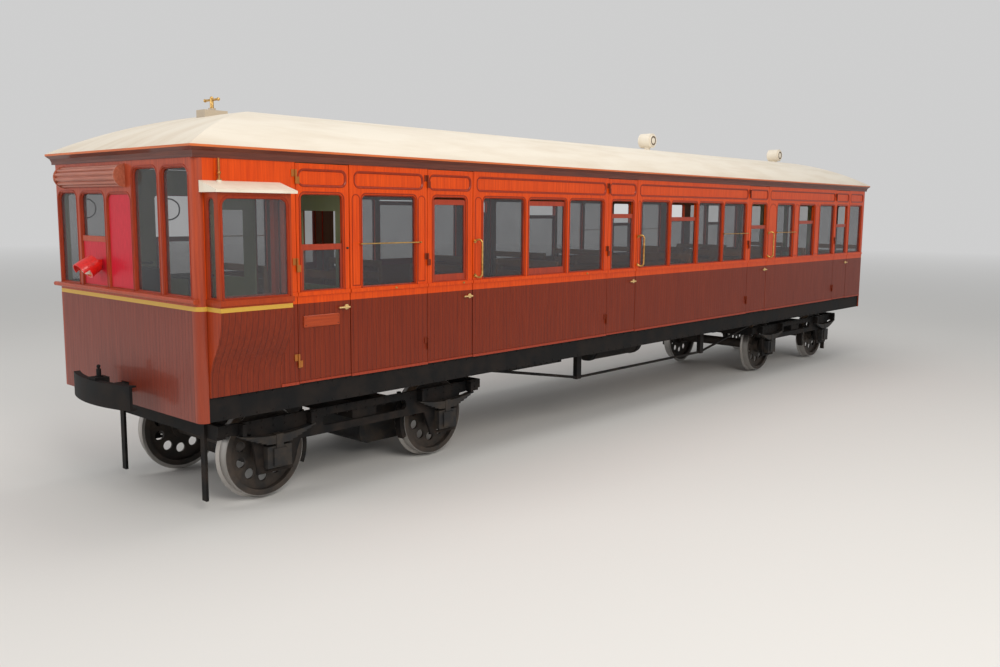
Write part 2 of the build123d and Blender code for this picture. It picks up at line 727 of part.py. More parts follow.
def cornice():
    """The ring beam at the head of the walls with its bead, cove and fascia, mitred at the corners."""
    inner = Rectangle(BODY_LENGTH - 2 * WALL, BODY_WIDTH - 2 * WALL)

    def plate(proud):
        return Rectangle(BODY_LENGTH + 2 * proud, BODY_WIDTH + 2 * proud)

    bead = extrude(Pos(0, 0, BODY_HEAD) * plate(CORNICE_BEAD_PROUD), CORNICE_BEAD)
    cove_foot = BODY_HEAD + CORNICE_BEAD
    lower = Pos(0, 0, cove_foot) * plate(CORNICE_BEAD_PROUD)
    bend = CORNICE_BEAD_PROUD + CORNICE_COVE_BEND * (CORNICE_PROUD - CORNICE_BEAD_PROUD)
    middle = Pos(0, 0, cove_foot + CORNICE_COVE / 2) * plate(bend)
    upper = Pos(0, 0, cove_foot + CORNICE_COVE) * plate(CORNICE_PROUD)
    cove = loft([lower, middle], ruled=True) + loft([middle, upper], ruled=True)
    fascia = extrude(Pos(0, 0, cove_foot + CORNICE_COVE) * plate(CORNICE_PROUD), CORNICE_FASCIA)
    ring = bead + cove + fascia
    return ring - extrude(Pos(0, 0, BODY_HEAD) * inner, EAVES - BODY_HEAD)


def roof_block(inset):
    """The roof's form: an arc across the body, meeting an arc that falls to each end."""
    rise = ROOF_RISE - inset
    half = ROOF_HALF - inset
    across = Polyline((half, 0), (-half, 0)) + ThreePointArc((-half, 0), (0, rise), (half, 0))
    arch = extrude(end_plane(-ROOF_END) * Pos(0, EAVES) * make_face(across), 2 * ROOF_END)
    end = ROOF_END - inset
    flat = ROOF_END - ROOF_END_LENGTH
    run = end - flat
    crest = rise + ROOF_END_CREST
    radius = (run * run + crest * crest) / (2 * crest)
    half_angle = 0.5 * asin(run / radius)
    bend = (flat + radius * sin(half_angle), crest - radius * (1 - cos(half_angle)))
    along = Polyline((-end, 0), (end, 0)) + ThreePointArc((end, 0), bend, (flat, crest))
    along += Polyline((flat, crest), (-flat, crest))
    along += ThreePointArc((-flat, crest), (-bend[0], bend[1]), (-end, 0))
    fall = extrude(side_plane(ROOF_HALF) * Pos(0, EAVES) * make_face(along), 2 * ROOF_HALF)
    return arch & fall


def roof():
    """The boarded roof: one skin of even thickness on the cornice."""
    return roof_block(0) - roof_block(ROOF_SKIN)


def roof_height(x, y):
    """The roof's outer height at one place between the two falling ends."""
    radius = (ROOF_HALF ** 2 + ROOF_RISE ** 2) / (2 * ROOF_RISE)
    arch = ROOF_RISE - radius + sqrt(radius ** 2 - y ** 2)
    over = max(0.0, abs(x) - (ROOF_END - ROOF_END_LENGTH))
    crest = ROOF_RISE + ROOF_END_CREST
    end_radius = (ROOF_END_LENGTH ** 2 + crest ** 2) / (2 * crest)
    fall = crest - end_radius + sqrt(end_radius ** 2 - over ** 2)
    return EAVES + min(arch, fall)


def roof_ventilators():
    """The drum ventilators on short necks along the roof's middle."""
    vents = []
    for x in VENT_PLACES:
        crown = roof_height(x, 0)
        middle = crown + VENT_NECK_HEIGHT + VENT_DRUM_RADIUS
        neck = rod((x, 0, crown - VENT_NECK_SUNK), (x, 0, middle), VENT_NECK_RADIUS) - roof_block(0)
        half = VENT_DRUM_LENGTH / 2
        drum = rod((x, -half, middle), (x, half, middle), VENT_DRUM_RADIUS)
        cap_half = half + VENT_CAP_DEPTH
        caps = rod((x, -cap_half, middle), (x, cap_half, middle), VENT_CAP_RADIUS)
        vents.append(neck + drum + caps)
    return vents


def whistle():
    """The valve near the driving end: a plinth on the roof, a turned stem and a cross bar."""
    x = WHISTLE_PLACE
    crown = roof_height(x, 0)
    length, width, height = WHISTLE_BASE
    plinth_head = crown + height
    plinth = block((x - length / 2, x + length / 2), (-width / 2, width / 2), (EAVES, plinth_head))
    plinth -= roof_block(0)
    stem_head = plinth_head + WHISTLE_STEM_HEIGHT
    stem = rod((x, 0, plinth_head), (x, 0, stem_head), WHISTLE_STEM_RADIUS)
    collar = rod((x, 0, plinth_head), (x, 0, plinth_head + WHISTLE_COLLAR_HEIGHT), WHISTLE_COLLAR_RADIUS)
    bar_height = stem_head - WHISTLE_BAR_RADIUS
    half = WHISTLE_BAR_LENGTH / 2
    bar = rod((x, -half, bar_height), (x, half, bar_height), WHISTLE_BAR_RADIUS)
    knobs = [Pos(x, side * half, bar_height) * Sphere(WHISTLE_KNOB_RADIUS) for side in (-1, 1)]
    top = Pos(x, 0, stem_head + WHISTLE_KNOB_RISE) * Sphere(WHISTLE_KNOB_RADIUS)
    return plinth + stem + collar + bar + knobs + top


def bay_profile(inset):
    """The lookout's section: upright, then an S curve back to the body side, from the top down."""
    outer = SIDE + BAY_PROJECTION - inset
    wall = SIDE - CUT_PAST if inset else SIDE
    waist = BODY_FOOT + BAY_WAIST
    bend = waist - BAY_CURVE_DROP
    swing = BAY_PROJECTION * BAY_UPPER_SHARE
    upper_radius = (BAY_CURVE_DROP ** 2 + swing ** 2) / (2 * swing)
    half_drop = upper_radius * sin(0.5 * asin(BAY_CURVE_DROP / upper_radius))
    upper_mid = (outer - upper_radius + sqrt(upper_radius ** 2 - half_drop ** 2), waist - half_drop)
    tilt = asin(BAY_CURVE_DROP / upper_radius)
    rest = BAY_PROJECTION - swing - BAY_FOOT_PROUD
    lower_radius = rest / (1 - cos(tilt))
    foot_y = outer - swing - rest
    foot_z = bend - lower_radius * sin(tilt)
    half_tilt = tilt / 2
    lower_mid = (foot_y + lower_radius * (1 - cos(half_tilt)), foot_z + lower_radius * sin(half_tilt))
    head = BAY_HEAD
    foot = BODY_FOOT + inset
    lines = Polyline((wall, foot), (wall, head), (outer, head), (outer, waist))
    lines += ThreePointArc((outer, waist), upper_mid, (outer - swing, bend))
    lines += ThreePointArc((outer - swing, bend), lower_mid, (foot_y, foot_z))
    lines += Polyline((foot_y, foot_z), (foot_y, foot), (wall, foot))
    return make_face(lines)


def bay_span():
    """Rear and front X of the lookout."""
    front = PANEL_SPANS[0][0] - BAY_PLACE
    return front - BAY_LENGTH, front


def lookout_bay():
    """The side lookout: a thin-walled bay with three lights, a sill and an S-curved foot."""
    rear, front = bay_span()
    shell = extrude(end_plane(rear) * bay_profile(0), BAY_LENGTH)
    shell -= extrude(end_plane(rear + BAY_WALL) * bay_profile(BAY_WALL), BAY_LENGTH - 2 * BAY_WALL)
    outer = SIDE + BAY_PROJECTION
    sill_x = (rear - BAY_SILL_PROUD / 2, front + BAY_SILL_PROUD / 2)
    sill_head = SILL - BAY_SILL_DROP
    sill = block(sill_x, (SIDE, outer + BAY_SILL_PROUD), (sill_head - BAY_SILL_DEPTH, sill_head))
    inside = (rear + BAY_WALL, front - BAY_WALL)
    sill -= block(inside, (SIDE - CUT_PAST, outer - BAY_WALL), (BODY_FOOT, SILL))
    shell += sill
    low, high = rear + BAY_LIGHT_MARGIN, front - BAY_LIGHT_MARGIN
    head = BAY_LIGHT_HEAD
    outline = light_shape(low, high, SILL, head, BAY_LIGHT_CORNER)
    shell -= extrude(side_plane(outer + 1) * outline, BAY_WALL + 2)
    half = BAY_SLIT / 2
    slit = light_shape(BAY_SLIT_MIDDLE - half, BAY_SLIT_MIDDLE + half, SILL, head, half - BAY_SLIT_CREST)
    return shell - extrude(end_plane(rear - 1) * slit, BAY_LENGTH + 2)


def bay_panes():
    """The lookout's long pane and its two narrow ones."""
    rear, front = bay_span()
    outer = SIDE + BAY_PROJECTION
    head = BAY_LIGHT_HEAD - GLASS_LAP
    long_light = light_shape(rear + BAY_LIGHT_MARGIN + GLASS_LAP, front - BAY_LIGHT_MARGIN - GLASS_LAP,
                             SILL + GLASS_LAP, head, BAY_LIGHT_CORNER)
    panes = [extrude(side_plane(outer - BAY_WALL / 2 + GLASS / 2) * long_light, GLASS)]
    half = BAY_SLIT / 2 - GLASS_LAP
    slit = light_shape(BAY_SLIT_MIDDLE - half, BAY_SLIT_MIDDLE + half, SILL + GLASS_LAP, head,
                       half - BAY_SLIT_CREST)
    for x in (rear + BAY_WALL / 2 - GLASS / 2, front - BAY_WALL / 2 - GLASS / 2):
        panes.append(extrude(end_plane(x) * slit, GLASS))
    return panes


def bay_roof():
    """The lookout's sloping roof board, with the upright stay from it to the cornice."""
    rear, front = bay_span()
    foot = BAY_HEAD
    eaves = SIDE + BAY_PROJECTION + BAY_ROOF_EAVES
    slope = BAY_ROOF_FALL / (BAY_PROJECTION + BAY_ROOF_EAVES)
    edge = foot + BAY_ROOF_THICKNESS
    wall_head = edge + slope * (eaves - SIDE)
    shape = Polyline((SIDE, foot), (eaves, foot), (eaves, edge), (SIDE, wall_head), (SIDE, foot))
    board = extrude(end_plane(rear - BAY_ROOF_VERGE) * make_face(shape), BAY_LENGTH + 2 * BAY_ROOF_VERGE)
    x = front - STAY_PLACE
    y = SIDE + STAY_OUT
    stay_foot = wall_head - slope * STAY_OUT
    stay = rod((x, y, edge), (x, y, BODY_HEAD), STAY_RADIUS)
    collar = rod((x, y, edge), (x, y, stay_foot + STAY_COLLAR_HEIGHT), STAY_COLLAR_RADIUS)
    knob = Pos(x, y, stay_foot + STAY_KNOB_PLACE) * Sphere(STAY_KNOB_RADIUS)
    return board + stay + collar + knob


def front_sill():
    """The rounded sill moulding across the driving end."""
    depth = SILL_DEPTH
    z = SILL - depth - WAIST_RAIL_DROP
    shape = Rectangle(SILL_PROUD, depth, align=(Align.MIN, Align.MIN))
    nose = shape.vertices().sort_by(Axis.X)[-2:]
    plane = Plane(origin=(FRONT, SIDE + SILL_PAST, z), x_dir=(1, 0, 0), z_dir=(0, -1, 0))
    return extrude(plane * fillet(nose, SILL_NOSE), BODY_WIDTH + 2 * SILL_PAST)


def reeded_hood():
    """The half-round reeded casing over the right-hand lights of the driving end."""
    z = LIGHT_HEAD + HOOD_ABOVE_LIGHT
    low, high = HOOD_MIDDLE - HOOD_LENGTH / 2, HOOD_MIDDLE + HOOD_LENGTH / 2
    body = rod((FRONT, low, z), (FRONT, high, z), HOOD_RADIUS)
    reeds = []
    for number in range(HOOD_REEDS):
        angle = radians(-90 + 180 * (number + 0.5) / HOOD_REEDS)
        x = FRONT + HOOD_RADIUS * cos(angle)
        height = z + HOOD_RADIUS * sin(angle)
        reeds.append(rod((x, low, height), (x, high, height), HOOD_REED_RADIUS))
    cheek_radius = HOOD_RADIUS + HOOD_REED_RADIUS + HOOD_CHEEK_PROUD
    cheeks = [rod((FRONT, low - HOOD_CHEEK, z), (FRONT, low, z), cheek_radius),
              rod((FRONT, high, z), (FRONT, high + HOOD_CHEEK, z), cheek_radius)]
    behind = block((FRONT - 200, FRONT), (-SIDE, SIDE), (z - 200, z + 200))
    return body + reeds + cheeks - behind


def red_lamp():
    """The red lamp on the half panel: a tapered lantern that looks forward and down, with a visor."""
    y, height = LAMP_PLACE
    z = SILL + height
    face = FRONT - PANEL_INSET
    start = Vector(face + LAMP_FOOT, y, z)
    forward = Vector(cos(radians(LAMP_TILT)), 0, -sin(radians(LAMP_TILT)))
    base = Plane(origin=start, x_dir=(0, 1, 0), z_dir=forward)
    back = base * Circle(LAMP_BACK_RADIUS)
    mouth_plane = base.offset(LAMP_LENGTH)
    body = loft([back, mouth_plane * Circle(LAMP_RADIUS)])
    hollow_plane = base.offset(LAMP_LENGTH - LAMP_MOUTH)
    body -= extrude(hollow_plane * Circle(LAMP_RADIUS - 2 * LAMP_WALL), LAMP_LENGTH)
    ring = mouth_plane * (Circle(LAMP_RADIUS) - Circle(LAMP_RADIUS - LAMP_WALL))
    visor = extrude(ring, LAMP_VISOR)
    visor &= extrude(mouth_plane * Pos(0, LAMP_RADIUS) * Rectangle(4 * LAMP_RADIUS, 2 * LAMP_RADIUS),
                     LAMP_VISOR)
    lens = extrude(hollow_plane * Circle(LAMP_RADIUS - 2 * LAMP_WALL), LAMP_WALL)
    foot = block((face, face + LAMP_FOOT + LAMP_FOOT_LAP), (y - LAMP_FOOT_HALF, y + LAMP_FOOT_HALF),
                 (z - LAMP_FOOT_HALF, z + LAMP_FOOT_HALF))
    return body + visor + lens + foot


def oval_ring(plane, half_width, half_height, end_radius):
    """A rod bent to an oval of four arcs, with its long way along the plane's X."""
    reach = half_width - end_radius
    crown = (reach ** 2 + half_height ** 2 - end_radius ** 2) / (2 * (half_height - end_radius))
    span = sqrt(reach ** 2 + (crown - half_height) ** 2)
    meet = (reach + end_radius * reach / span, end_radius * (crown - half_height) / span)
    corners = [(meet[0], meet[1]), (-meet[0], meet[1]), (-meet[0], -meet[1]), (meet[0], -meet[1])]
    tops = [(0, half_height), (-half_width, 0), (0, -half_height), (half_width, 0)]
    path = []
    for number, top in enumerate(tops):
        path.append(ThreePointArc(corners[number], top, corners[(number + 1) % 4]))
    line = Wire([edge for arc in path for edge in (plane * arc).edges()])
    start = Plane(origin=line @ 0, z_dir=line % 0)
    return sweep(start * Circle(RING_ROD), path=line)


def mullion_rings():
    """The three oval rings behind the mullions of the driving end, each held by two short stems."""
    rings = []
    z = BODY_HEAD - RING_BELOW_HEAD
    for first, second in ((0, 1), (1, 2), (3, 4)):
        left = FRONT_LIGHTS[first]
        right = FRONT_LIGHTS[second]
        y = (left["middle"] + left["width"] / 2 + right["middle"] - right["width"] / 2) / 2
        x = FRONT - WALL - RING_STAND_OFF
        plane = Plane(origin=(x, y, z), x_dir=(0, 1, 0), z_dir=(1, 0, 0))
        ring = oval_ring(plane, RING_HALF_WIDTH, RING_HALF_HEIGHT, RING_END_RADIUS)
        for height in (z - RING_HALF_HEIGHT, z + RING_HALF_HEIGHT):
            ring += rod((FRONT - WALL, y, height), (x, y, height), RING_STEM)
        rings.append(ring)
    return rings


def floor():
    """The floor between the walls, on the underframe."""
    x = FRONT - WALL
    y = SIDE - WALL
    return block((-x, x), (-y, y), (BODY_FOOT, FLOOR_TOP))


def cab_partition():
    """The wall behind the cab, with its doorway and a light on each side."""
    x = (PARTITION_PLACE, PARTITION_PLACE + PARTITION_THICKNESS)
    y = SIDE - WALL
    head = EAVES - PARTITION_BELOW_EAVES
    wall = block(x, (-y, y), (FLOOR_TOP, head))
    half = PARTITION_DOORWAY / 2
    wall -= block((x[0] - 1, x[1] + 1), (-half, half), (FLOOR_TOP - 1, head - PARTITION_HEADER))
    for side in (-1, 1):
        middle = side * (half + y) / 2
        span = (middle - PARTITION_LIGHT / 2, middle + PARTITION_LIGHT / 2)
        wall -= block((x[0] - 1, x[1] + 1), span, (SILL, SILL + PARTITION_LIGHT_HEIGHT))
    return wall


def seat_slats(looks):
    """Sections of the seat's slats, from its front edge back, for a bench that looks one way along X."""
    pitch = BENCH_SLAT + BENCH_SLAT_GAP
    height = FLOOR_TOP + BENCH_HEIGHT - BENCH_THICKNESS / 2
    slats = []
    for number in range(int(BENCH_DEPTH / pitch)):
        middle = BENCH_DEPTH - number * pitch - BENCH_SLAT / 2
        slats.append(Pos(looks * middle, height) * Rectangle(BENCH_SLAT, BENCH_THICKNESS))
    return slats


def bench(looks, side):
    """One slatted bench for two with its back's foot at X = 0: two ends, seat slats and back slats."""
    inner = side * AISLE / 2
    wall = side * (SIDE - WALL - BENCH_WALL_GAP)
    low, high = min(inner, wall), max(inner, wall)
    seat = FLOOR_TOP + BENCH_HEIGHT
    back = FLOOR_TOP + BENCH_BACK_HEIGHT
    rake = BENCH_BACK_RAKE
    seat_foot = seat - BENCH_THICKNESS
    end_shape = Polyline((0, FLOOR_TOP), (looks * (BENCH_DEPTH - BENCH_FOOT_SET_BACK), FLOOR_TOP),
                         (looks * BENCH_DEPTH, seat_foot), (looks * rake, seat_foot),
                         (looks * BENCH_THICKNESS, back), (0, back), (0, FLOOR_TOP))
    ends = extrude(side_plane(high) * make_face(end_shape), BENCH_END)
    ends += extrude(side_plane(low + BENCH_END) * make_face(end_shape), BENCH_END)
    for slat in seat_slats(looks):
        ends += extrude(side_plane(high) * slat, high - low)
    thickness = sorted((0, looks * BENCH_BACK_SLAT_THICKNESS))
    pitch = BENCH_BACK_SLAT + BENCH_BACK_GAP
    for number in range(int((back - seat) / pitch)):
        head = back - number * pitch
        ends += block(thickness, (low, high), (head - BENCH_BACK_SLAT, head))
    return ends


def benches():
    """The rows of benches on both sides of the aisle."""
    made = {(looks, side): bench(looks, side) for looks in (-1, 1) for side in (-1, 1)}
    return [Pos(place, 0, 0) * made[looks, side] for place, looks in BENCHES for side in (-1, 1)]


def turned_ring(radius, section):
    """A ring about Z with an eight-sided section, such as a hand wheel's rim."""
    plane = Plane(origin=(0, 0, 0), x_dir=(1, 0, 0), z_dir=(0, -1, 0))
    return revolve(plane * Pos(radius, 0) * RegularPolygon(section, 8), Axis.Z)


def cab_controls():
    """The controller cabinet and the hand brake's column and wheel."""
    x, y = CONTROLLER_PLACE
    length, width, height = CONTROLLER
    head = FLOOR_TOP + height
    plan = RectangleRounded(length, width, CONTROLLER_CORNER)
    lid = RectangleRounded(length + 2 * CONTROLLER_LID, width + 2 * CONTROLLER_LID,
                           CONTROLLER_CORNER + CONTROLLER_LID)
    cabinet = Pos(x, y, FLOOR_TOP) * extrude(plan, height)
    cabinet += Pos(x, y, head) * extrude(lid, CONTROLLER_LID)
    spindle_head = head + CONTROLLER_LID + CONTROLLER_SPINDLE
    lever_height = spindle_head - CONTROLLER_LEVER_DROP
    cabinet += rod((x, y, head), (x, y, spindle_head), CONTROLLER_SPINDLE_RADIUS)
    cabinet += rod((x, y, lever_height), (x - CONTROLLER_LEVER, y, lever_height), CONTROLLER_LEVER_RADIUS)
    bx, by = BRAKE_STAND_PLACE
    rim = FLOOR_TOP + BRAKE_STAND_HEIGHT
    column = rod((bx, by, FLOOR_TOP), (bx, by, rim + BRAKE_NUT), BRAKE_STAND_RADIUS)
    foot = rod((bx, by, FLOOR_TOP), (bx, by, FLOOR_TOP + BRAKE_FOOT), BRAKE_FOOT_RADIUS)
    wheel = Pos(bx, by, rim) * turned_ring(BRAKE_WHEEL_RADIUS, BRAKE_WHEEL_RIM)
    spokes = []
    for number in range(BRAKE_SPOKES):
        angle = 2 * pi * number / BRAKE_SPOKES
        tip = (bx + BRAKE_WHEEL_RADIUS * cos(angle), by + BRAKE_WHEEL_RADIUS * sin(angle), rim)
        spokes.append(rod((bx, by, rim), tip, BRAKE_SPOKE_RADIUS))
    return [cabinet, column + foot + wheel + spokes]


def swan_neck(x, flange, way):
    """The line of a hand rail's neck, from its flange on the wall over a bend to the head of the shank."""
    reach = sqrt(RAIL_STAND_OFF ** 2 + RAIL_LEAN ** 2)
    turn = radians(RAIL_TURN)
    middle = reach - RAIL_BEND
    first = RAIL_END * reach / RAIL_STAND_OFF
    last = middle + RAIL_BEND * cos(turn)
    rise = (last - first) * tan(turn - pi / 2)

    def point(out, height):
        return (x - out * RAIL_LEAN / reach, SIDE + out * RAIL_STAND_OFF / reach, flange + way * height)

    def on_bend(angle):
        return point(middle + RAIL_BEND * cos(angle), rise + RAIL_BEND * (sin(angle) - sin(turn)))

    return point(first, 0.0), on_bend(turn), on_bend(turn / 2), on_bend(0.0)


def hand_rail(x):
    """One brass hand rail: a shank with a swan neck at each end, fixed by round flanges."""
    foot = BODY_FOOT + RAIL_FOOT_HEIGHT
    head = foot + RAIL_LENGTH
    upper = swan_neck(x, head, 1)
    lower = swan_neck(x, foot, -1)
    line = Line(upper[0], upper[1]) + ThreePointArc(upper[1], upper[2], upper[3]) + Line(upper[3], lower[3])
    line += ThreePointArc(lower[3], lower[2], lower[1]) + Line(lower[1], lower[0])
    start = Plane(origin=upper[0], z_dir=Vector(*upper[1]) - Vector(*upper[0]))
    rail = sweep(start * Circle(RAIL_RADIUS), path=line)
    for z in (foot, head):
        rail += rod((x, SIDE, z), (x, SIDE + RAIL_FLANGE, z), RAIL_FLANGE_RADIUS)
    return rail


def guard_bar(index, number):
    """A thin bar across one light, on a short post at each end."""
    rear, front = panel_lights(index)[number]
    ends = (rear - BAR_PAST_LIGHT, front + BAR_PAST_LIGHT)
    y = SIDE + BAR_STAND_OFF
    z = SILL + BAR_ABOVE_SILL
    bar = rod((ends[0], y, z), (ends[1], y, z), BAR_RADIUS)
    for x in ends:
        bar += rod((x, SIDE, z), (x, y + BAR_POST_PAST_BAR, z), BAR_POST_RADIUS)
    return bar


def grab_rails():
    """The hand rails beside the passenger doors and the guard bars across lights, both sides."""
    rails = [hand_rail(rear - RAIL_BEHIND_DOOR) for front, rear in DOORWAY_SPANS[1:4]]
    rails += [guard_bar(index, number) for index, number in BARRED_LIGHTS]
    return rails + mirrored(rails)


def underframe():
    """Solebars, headstocks, bearers, body bolsters with their centre plates, and draft bearers."""
    y = SIDE - SOLEBAR_INSET
    z = (SOLEBAR_BOTTOM, BODY_FOOT)
    x = FRONT - WALL
    frame = []
    for side in (-1, 1):
        web = sorted((side * y, side * (y - SOLEBAR_WEB)))
        flange = sorted((side * y, side * (y - SOLEBAR_FLANGE)))
        reach = FRONT - END_RETURN
        bar = block((-reach, reach), web, z)
        bar += block((-reach, reach), flange, (z[0], z[0] + SOLEBAR_LIP))
        bar += block((-reach, reach), flange, (z[1] - SOLEBAR_LIP, z[1]))
        frame.append(bar)
    inner = y - SOLEBAR_WEB
    hole = (SHANK_WIDTH / 2 + SHANK_CLEARANCE, SHANK_HEIGHT / 2 + SHANK_CLEARANCE)
    middle = SOLEBAR_BOTTOM + BUFFER_MIDDLE
    for end in (-1, 1):
        edge = sorted((end * x, end * (x - HEADSTOCK)))
        stock = block(edge, (-(SIDE - WALL), SIDE - WALL), z)
        stock -= block((edge[0] - 1, edge[1] + 1), (-hole[0], hole[0]), (middle - hole[1], middle + hole[1]))
        frame.append(stock)
        centre = end * BOGIE_CENTRES / 2
        half = BODY_BOLSTER_WIDTH / 2
        frame.append(block((centre - half, centre + half), (-inner, inner), z))
        draft = sorted((end * DRAFT_PLACE, end * (DRAFT_PLACE - DRAFT_WIDTH)))
        frame.append(block(draft, (-inner, inner), z))
    for place in BEARER_PLACES:
        web = (place - BEARER_WEB / 2, place + BEARER_WEB / 2)
        flange = (place - BEARER_WIDTH / 2, place + BEARER_WIDTH / 2)
        low = z[1] - BEARER_DEPTH
        frame.append(block(web, (-inner, inner), (low, z[1])))
        frame.append(block(flange, (-inner, inner), (z[1] - SOLEBAR_LIP, z[1])))
        frame.append(block(flange, (-inner, inner), (low, low + SOLEBAR_LIP)))
    whole = frame[0]
    for piece in frame[1:]:
        whole += piece
    for end in (-1, 1):
        centre = end * BOGIE_CENTRES / 2
        whole += rod((centre, 0, BOWL_TOP + CENTRE_GAP), (centre, 0, z[0]), CENTRE_PLATE_RADIUS)
        whole += rod((centre, 0, z[0] - KING_PIN_LENGTH), (centre, 0, z[0]), KING_PIN_RADIUS)
    return whole


def coupling_pin(x, foot, seat):
    """The pin dropped through the jaw: shank, collar on its seat, free end for a link's eye, and knob."""
    collar_head = seat + COUPLING_COLLAR
    free_foot = collar_head + COUPLING_GROOVE
    free_head = free_foot + COUPLING_PIN_LENGTH
    pin = rod((x, 0, foot), (x, 0, free_foot), COUPLING_SHANK_RADIUS)
    pin += rod((x, 0, seat), (x, 0, collar_head), COUPLING_COLLAR_RADIUS)
    pin += rod((x, 0, free_foot), (x, 0, free_head), COUPLING_PIN_RADIUS)
    pin += rod((x, 0, free_head), (x, 0, free_head + COUPLING_NECK), COUPLING_NECK_RADIUS)
    return pin + Pos(x, 0, free_head + COUPLING_KNOB_RISE) * Sphere(COUPLING_KNOB_RADIUS)


def bowed_plan(front, thickness):
    """The plan of a buffer's plate or flange: two arcs of one bow, closed at the tips."""
    half = BUFFER_HALF_WIDTH
    tip = front - BUFFER_BOW
    back = front - thickness
    back_tip = tip - thickness
    lines = ThreePointArc((tip, -half), (front, 0), (tip, half)) + Polyline((tip, half), (back_tip, half))
    lines += ThreePointArc((back_tip, half), (back, 0), (back_tip, -half))
    lines += Polyline((back_tip, -half), (tip, -half))
    return make_face(lines)


def buffers():
    """The wide bowed buffer at each end on its shank, with the coupling jaw and pin above."""
    middle = SOLEBAR_BOTTOM + BUFFER_MIDDLE
    low = middle - BUFFER_HEIGHT / 2
    high = middle + BUFFER_HEIGHT / 2
    face = FRONT + BUFFER_FACE
    plate = extrude(Pos(0, 0, low) * bowed_plan(face, BUFFER_PLATE), BUFFER_HEIGHT)
    flange = extrude(Pos(0, 0, low) * bowed_plan(face, BUFFER_FLANGE), BUFFER_FLANGE_THICKNESS)
    plate += flange + Pos(0, 0, BUFFER_HEIGHT - BUFFER_FLANGE_THICKNESS) * flange
    shank = block((DRAFT_PLACE, face - BUFFER_PLATE + SHANK_LAP), (-SHANK_WIDTH / 2, SHANK_WIDTH / 2),
                  (middle - SHANK_HEIGHT / 2, middle + SHANK_HEIGHT / 2))
    root = (FRONT + BRACE_ROOT_PLACE, -SHANK_WIDTH / 2)
    tip = (face - BUFFER_BOW - BRACE_TIP_BEHIND, BRACE_TIP_PLACE - BUFFER_HALF_WIDTH)
    shape = Polyline(root, tip, (tip[0] + BRACE_TIP_RUN, tip[1] + BRACE_TIP),
                     (root[0] + BRACE_ROOT, root[1]), root)
    brace = extrude(Pos(0, 0, middle - BRACE_DEPTH / 2) * make_face(shape), BRACE_DEPTH)
    brace += mirror(brace, about=Plane.XZ)
    jaw_front = face - COUPLING_JAW_SET_BACK
    jaw_head = high + COUPLING_JAW_RISE
    jaw = block((jaw_front - COUPLING_JAW, jaw_front), (-COUPLING_JAW / 2, COUPLING_JAW / 2),
                (high - COUPLING_JAW_LAP, jaw_head))
    pin_x = jaw_front - COUPLING_JAW / 2
    jaw -= rod((pin_x, 0, middle), (pin_x, 0, jaw_head + 1), COUPLING_EYE_RADIUS)
    front = plate + shank + brace + jaw + coupling_pin(pin_x, middle, jaw_head)
    return [front, mirror(front, about=Plane.YZ)]


def truss_rods():
    """The trussing under each solebar: a rod from end to end over two queen posts."""
    trusses = []
    top = SOLEBAR_BOTTOM
    low = top - TRUSS_DROP
    half_foot = TRUSS_FOOT_LENGTH / 2
    for side in (-1, 1):
        y = side * TRUSS_OFFSET
        deep = (y - TRUSS_POST_DEPTH / 2, y + TRUSS_POST_DEPTH / 2)
        wide = (y - TRUSS_CARRIER_WIDTH / 2, y + TRUSS_CARRIER_WIDTH / 2)
        points = [(-TRUSS_END, y, top - TRUSS_ROD_DROP), (-TRUSS_POST, y, low), (TRUSS_POST, y, low),
                  (TRUSS_END, y, top - TRUSS_ROD_DROP)]
        truss = block((-TRUSS_END - half_foot, TRUSS_END + half_foot), wide, (top - TRUSS_CARRIER, top))
        for start, end in zip(points, points[1:]):
            truss += rod(start, end, TRUSS_ROD_RADIUS)
        shelf = sorted((y, side * (SIDE - SOLEBAR_INSET - TRUSS_SHELF_SET_BACK)))
        for end in (-1, 1):
            post = end * TRUSS_POST
            half = TRUSS_POST_WIDTH / 2
            truss += block((post - half, post + half), deep, (low - TRUSS_ROD_RADIUS, top))
            foot = (end * TRUSS_END - half_foot, end * TRUSS_END + half_foot)
            truss += block(foot, deep, (top - TRUSS_FOOT, top))
            truss += block(foot, shelf, (top - TRUSS_CARRIER, top))
            truss += block((post - half_foot, post + half_foot), shelf, (top - TRUSS_CARRIER, top))
        trusses.append(truss)
    return trusses


def reservoirs():
    """The air reservoirs with dished ends, hung by straps from the floor."""
    tanks = []
    radius = RESERVOIR_RADIUS
    z = BODY_FOOT - BEARER_DEPTH - RESERVOIR_GAP - radius
    half = RESERVOIR_LENGTH / 2
    shell = half - RESERVOIR_DISH
    dish = Polyline((-half, 0), (-half, radius - RESERVOIR_DISH), (-shell, radius), (shell, radius),
                    (half, radius - RESERVOIR_DISH), (half, 0), (-half, 0))
    turned = revolve(side_plane(0) * make_face(dish), Axis.X)
    for side in (-1, 1):
        y = side * RESERVOIR_OFFSET
        tank = Pos(0, y, z) * turned
        for place in (-RESERVOIR_STRAP_PLACE, RESERVOIR_STRAP_PLACE):
            x = (place - RESERVOIR_STRAP / 2, place + RESERVOIR_STRAP / 2)
            tank += rod((x[0], y, z), (x[1], y, z), radius + RESERVOIR_STRAP_THICKNESS)
            tank += block(x, (y - RESERVOIR_HANGER / 2, y + RESERVOIR_HANGER / 2), (z + radius, BODY_FOOT))
        tanks.append(tank)
    return tanks


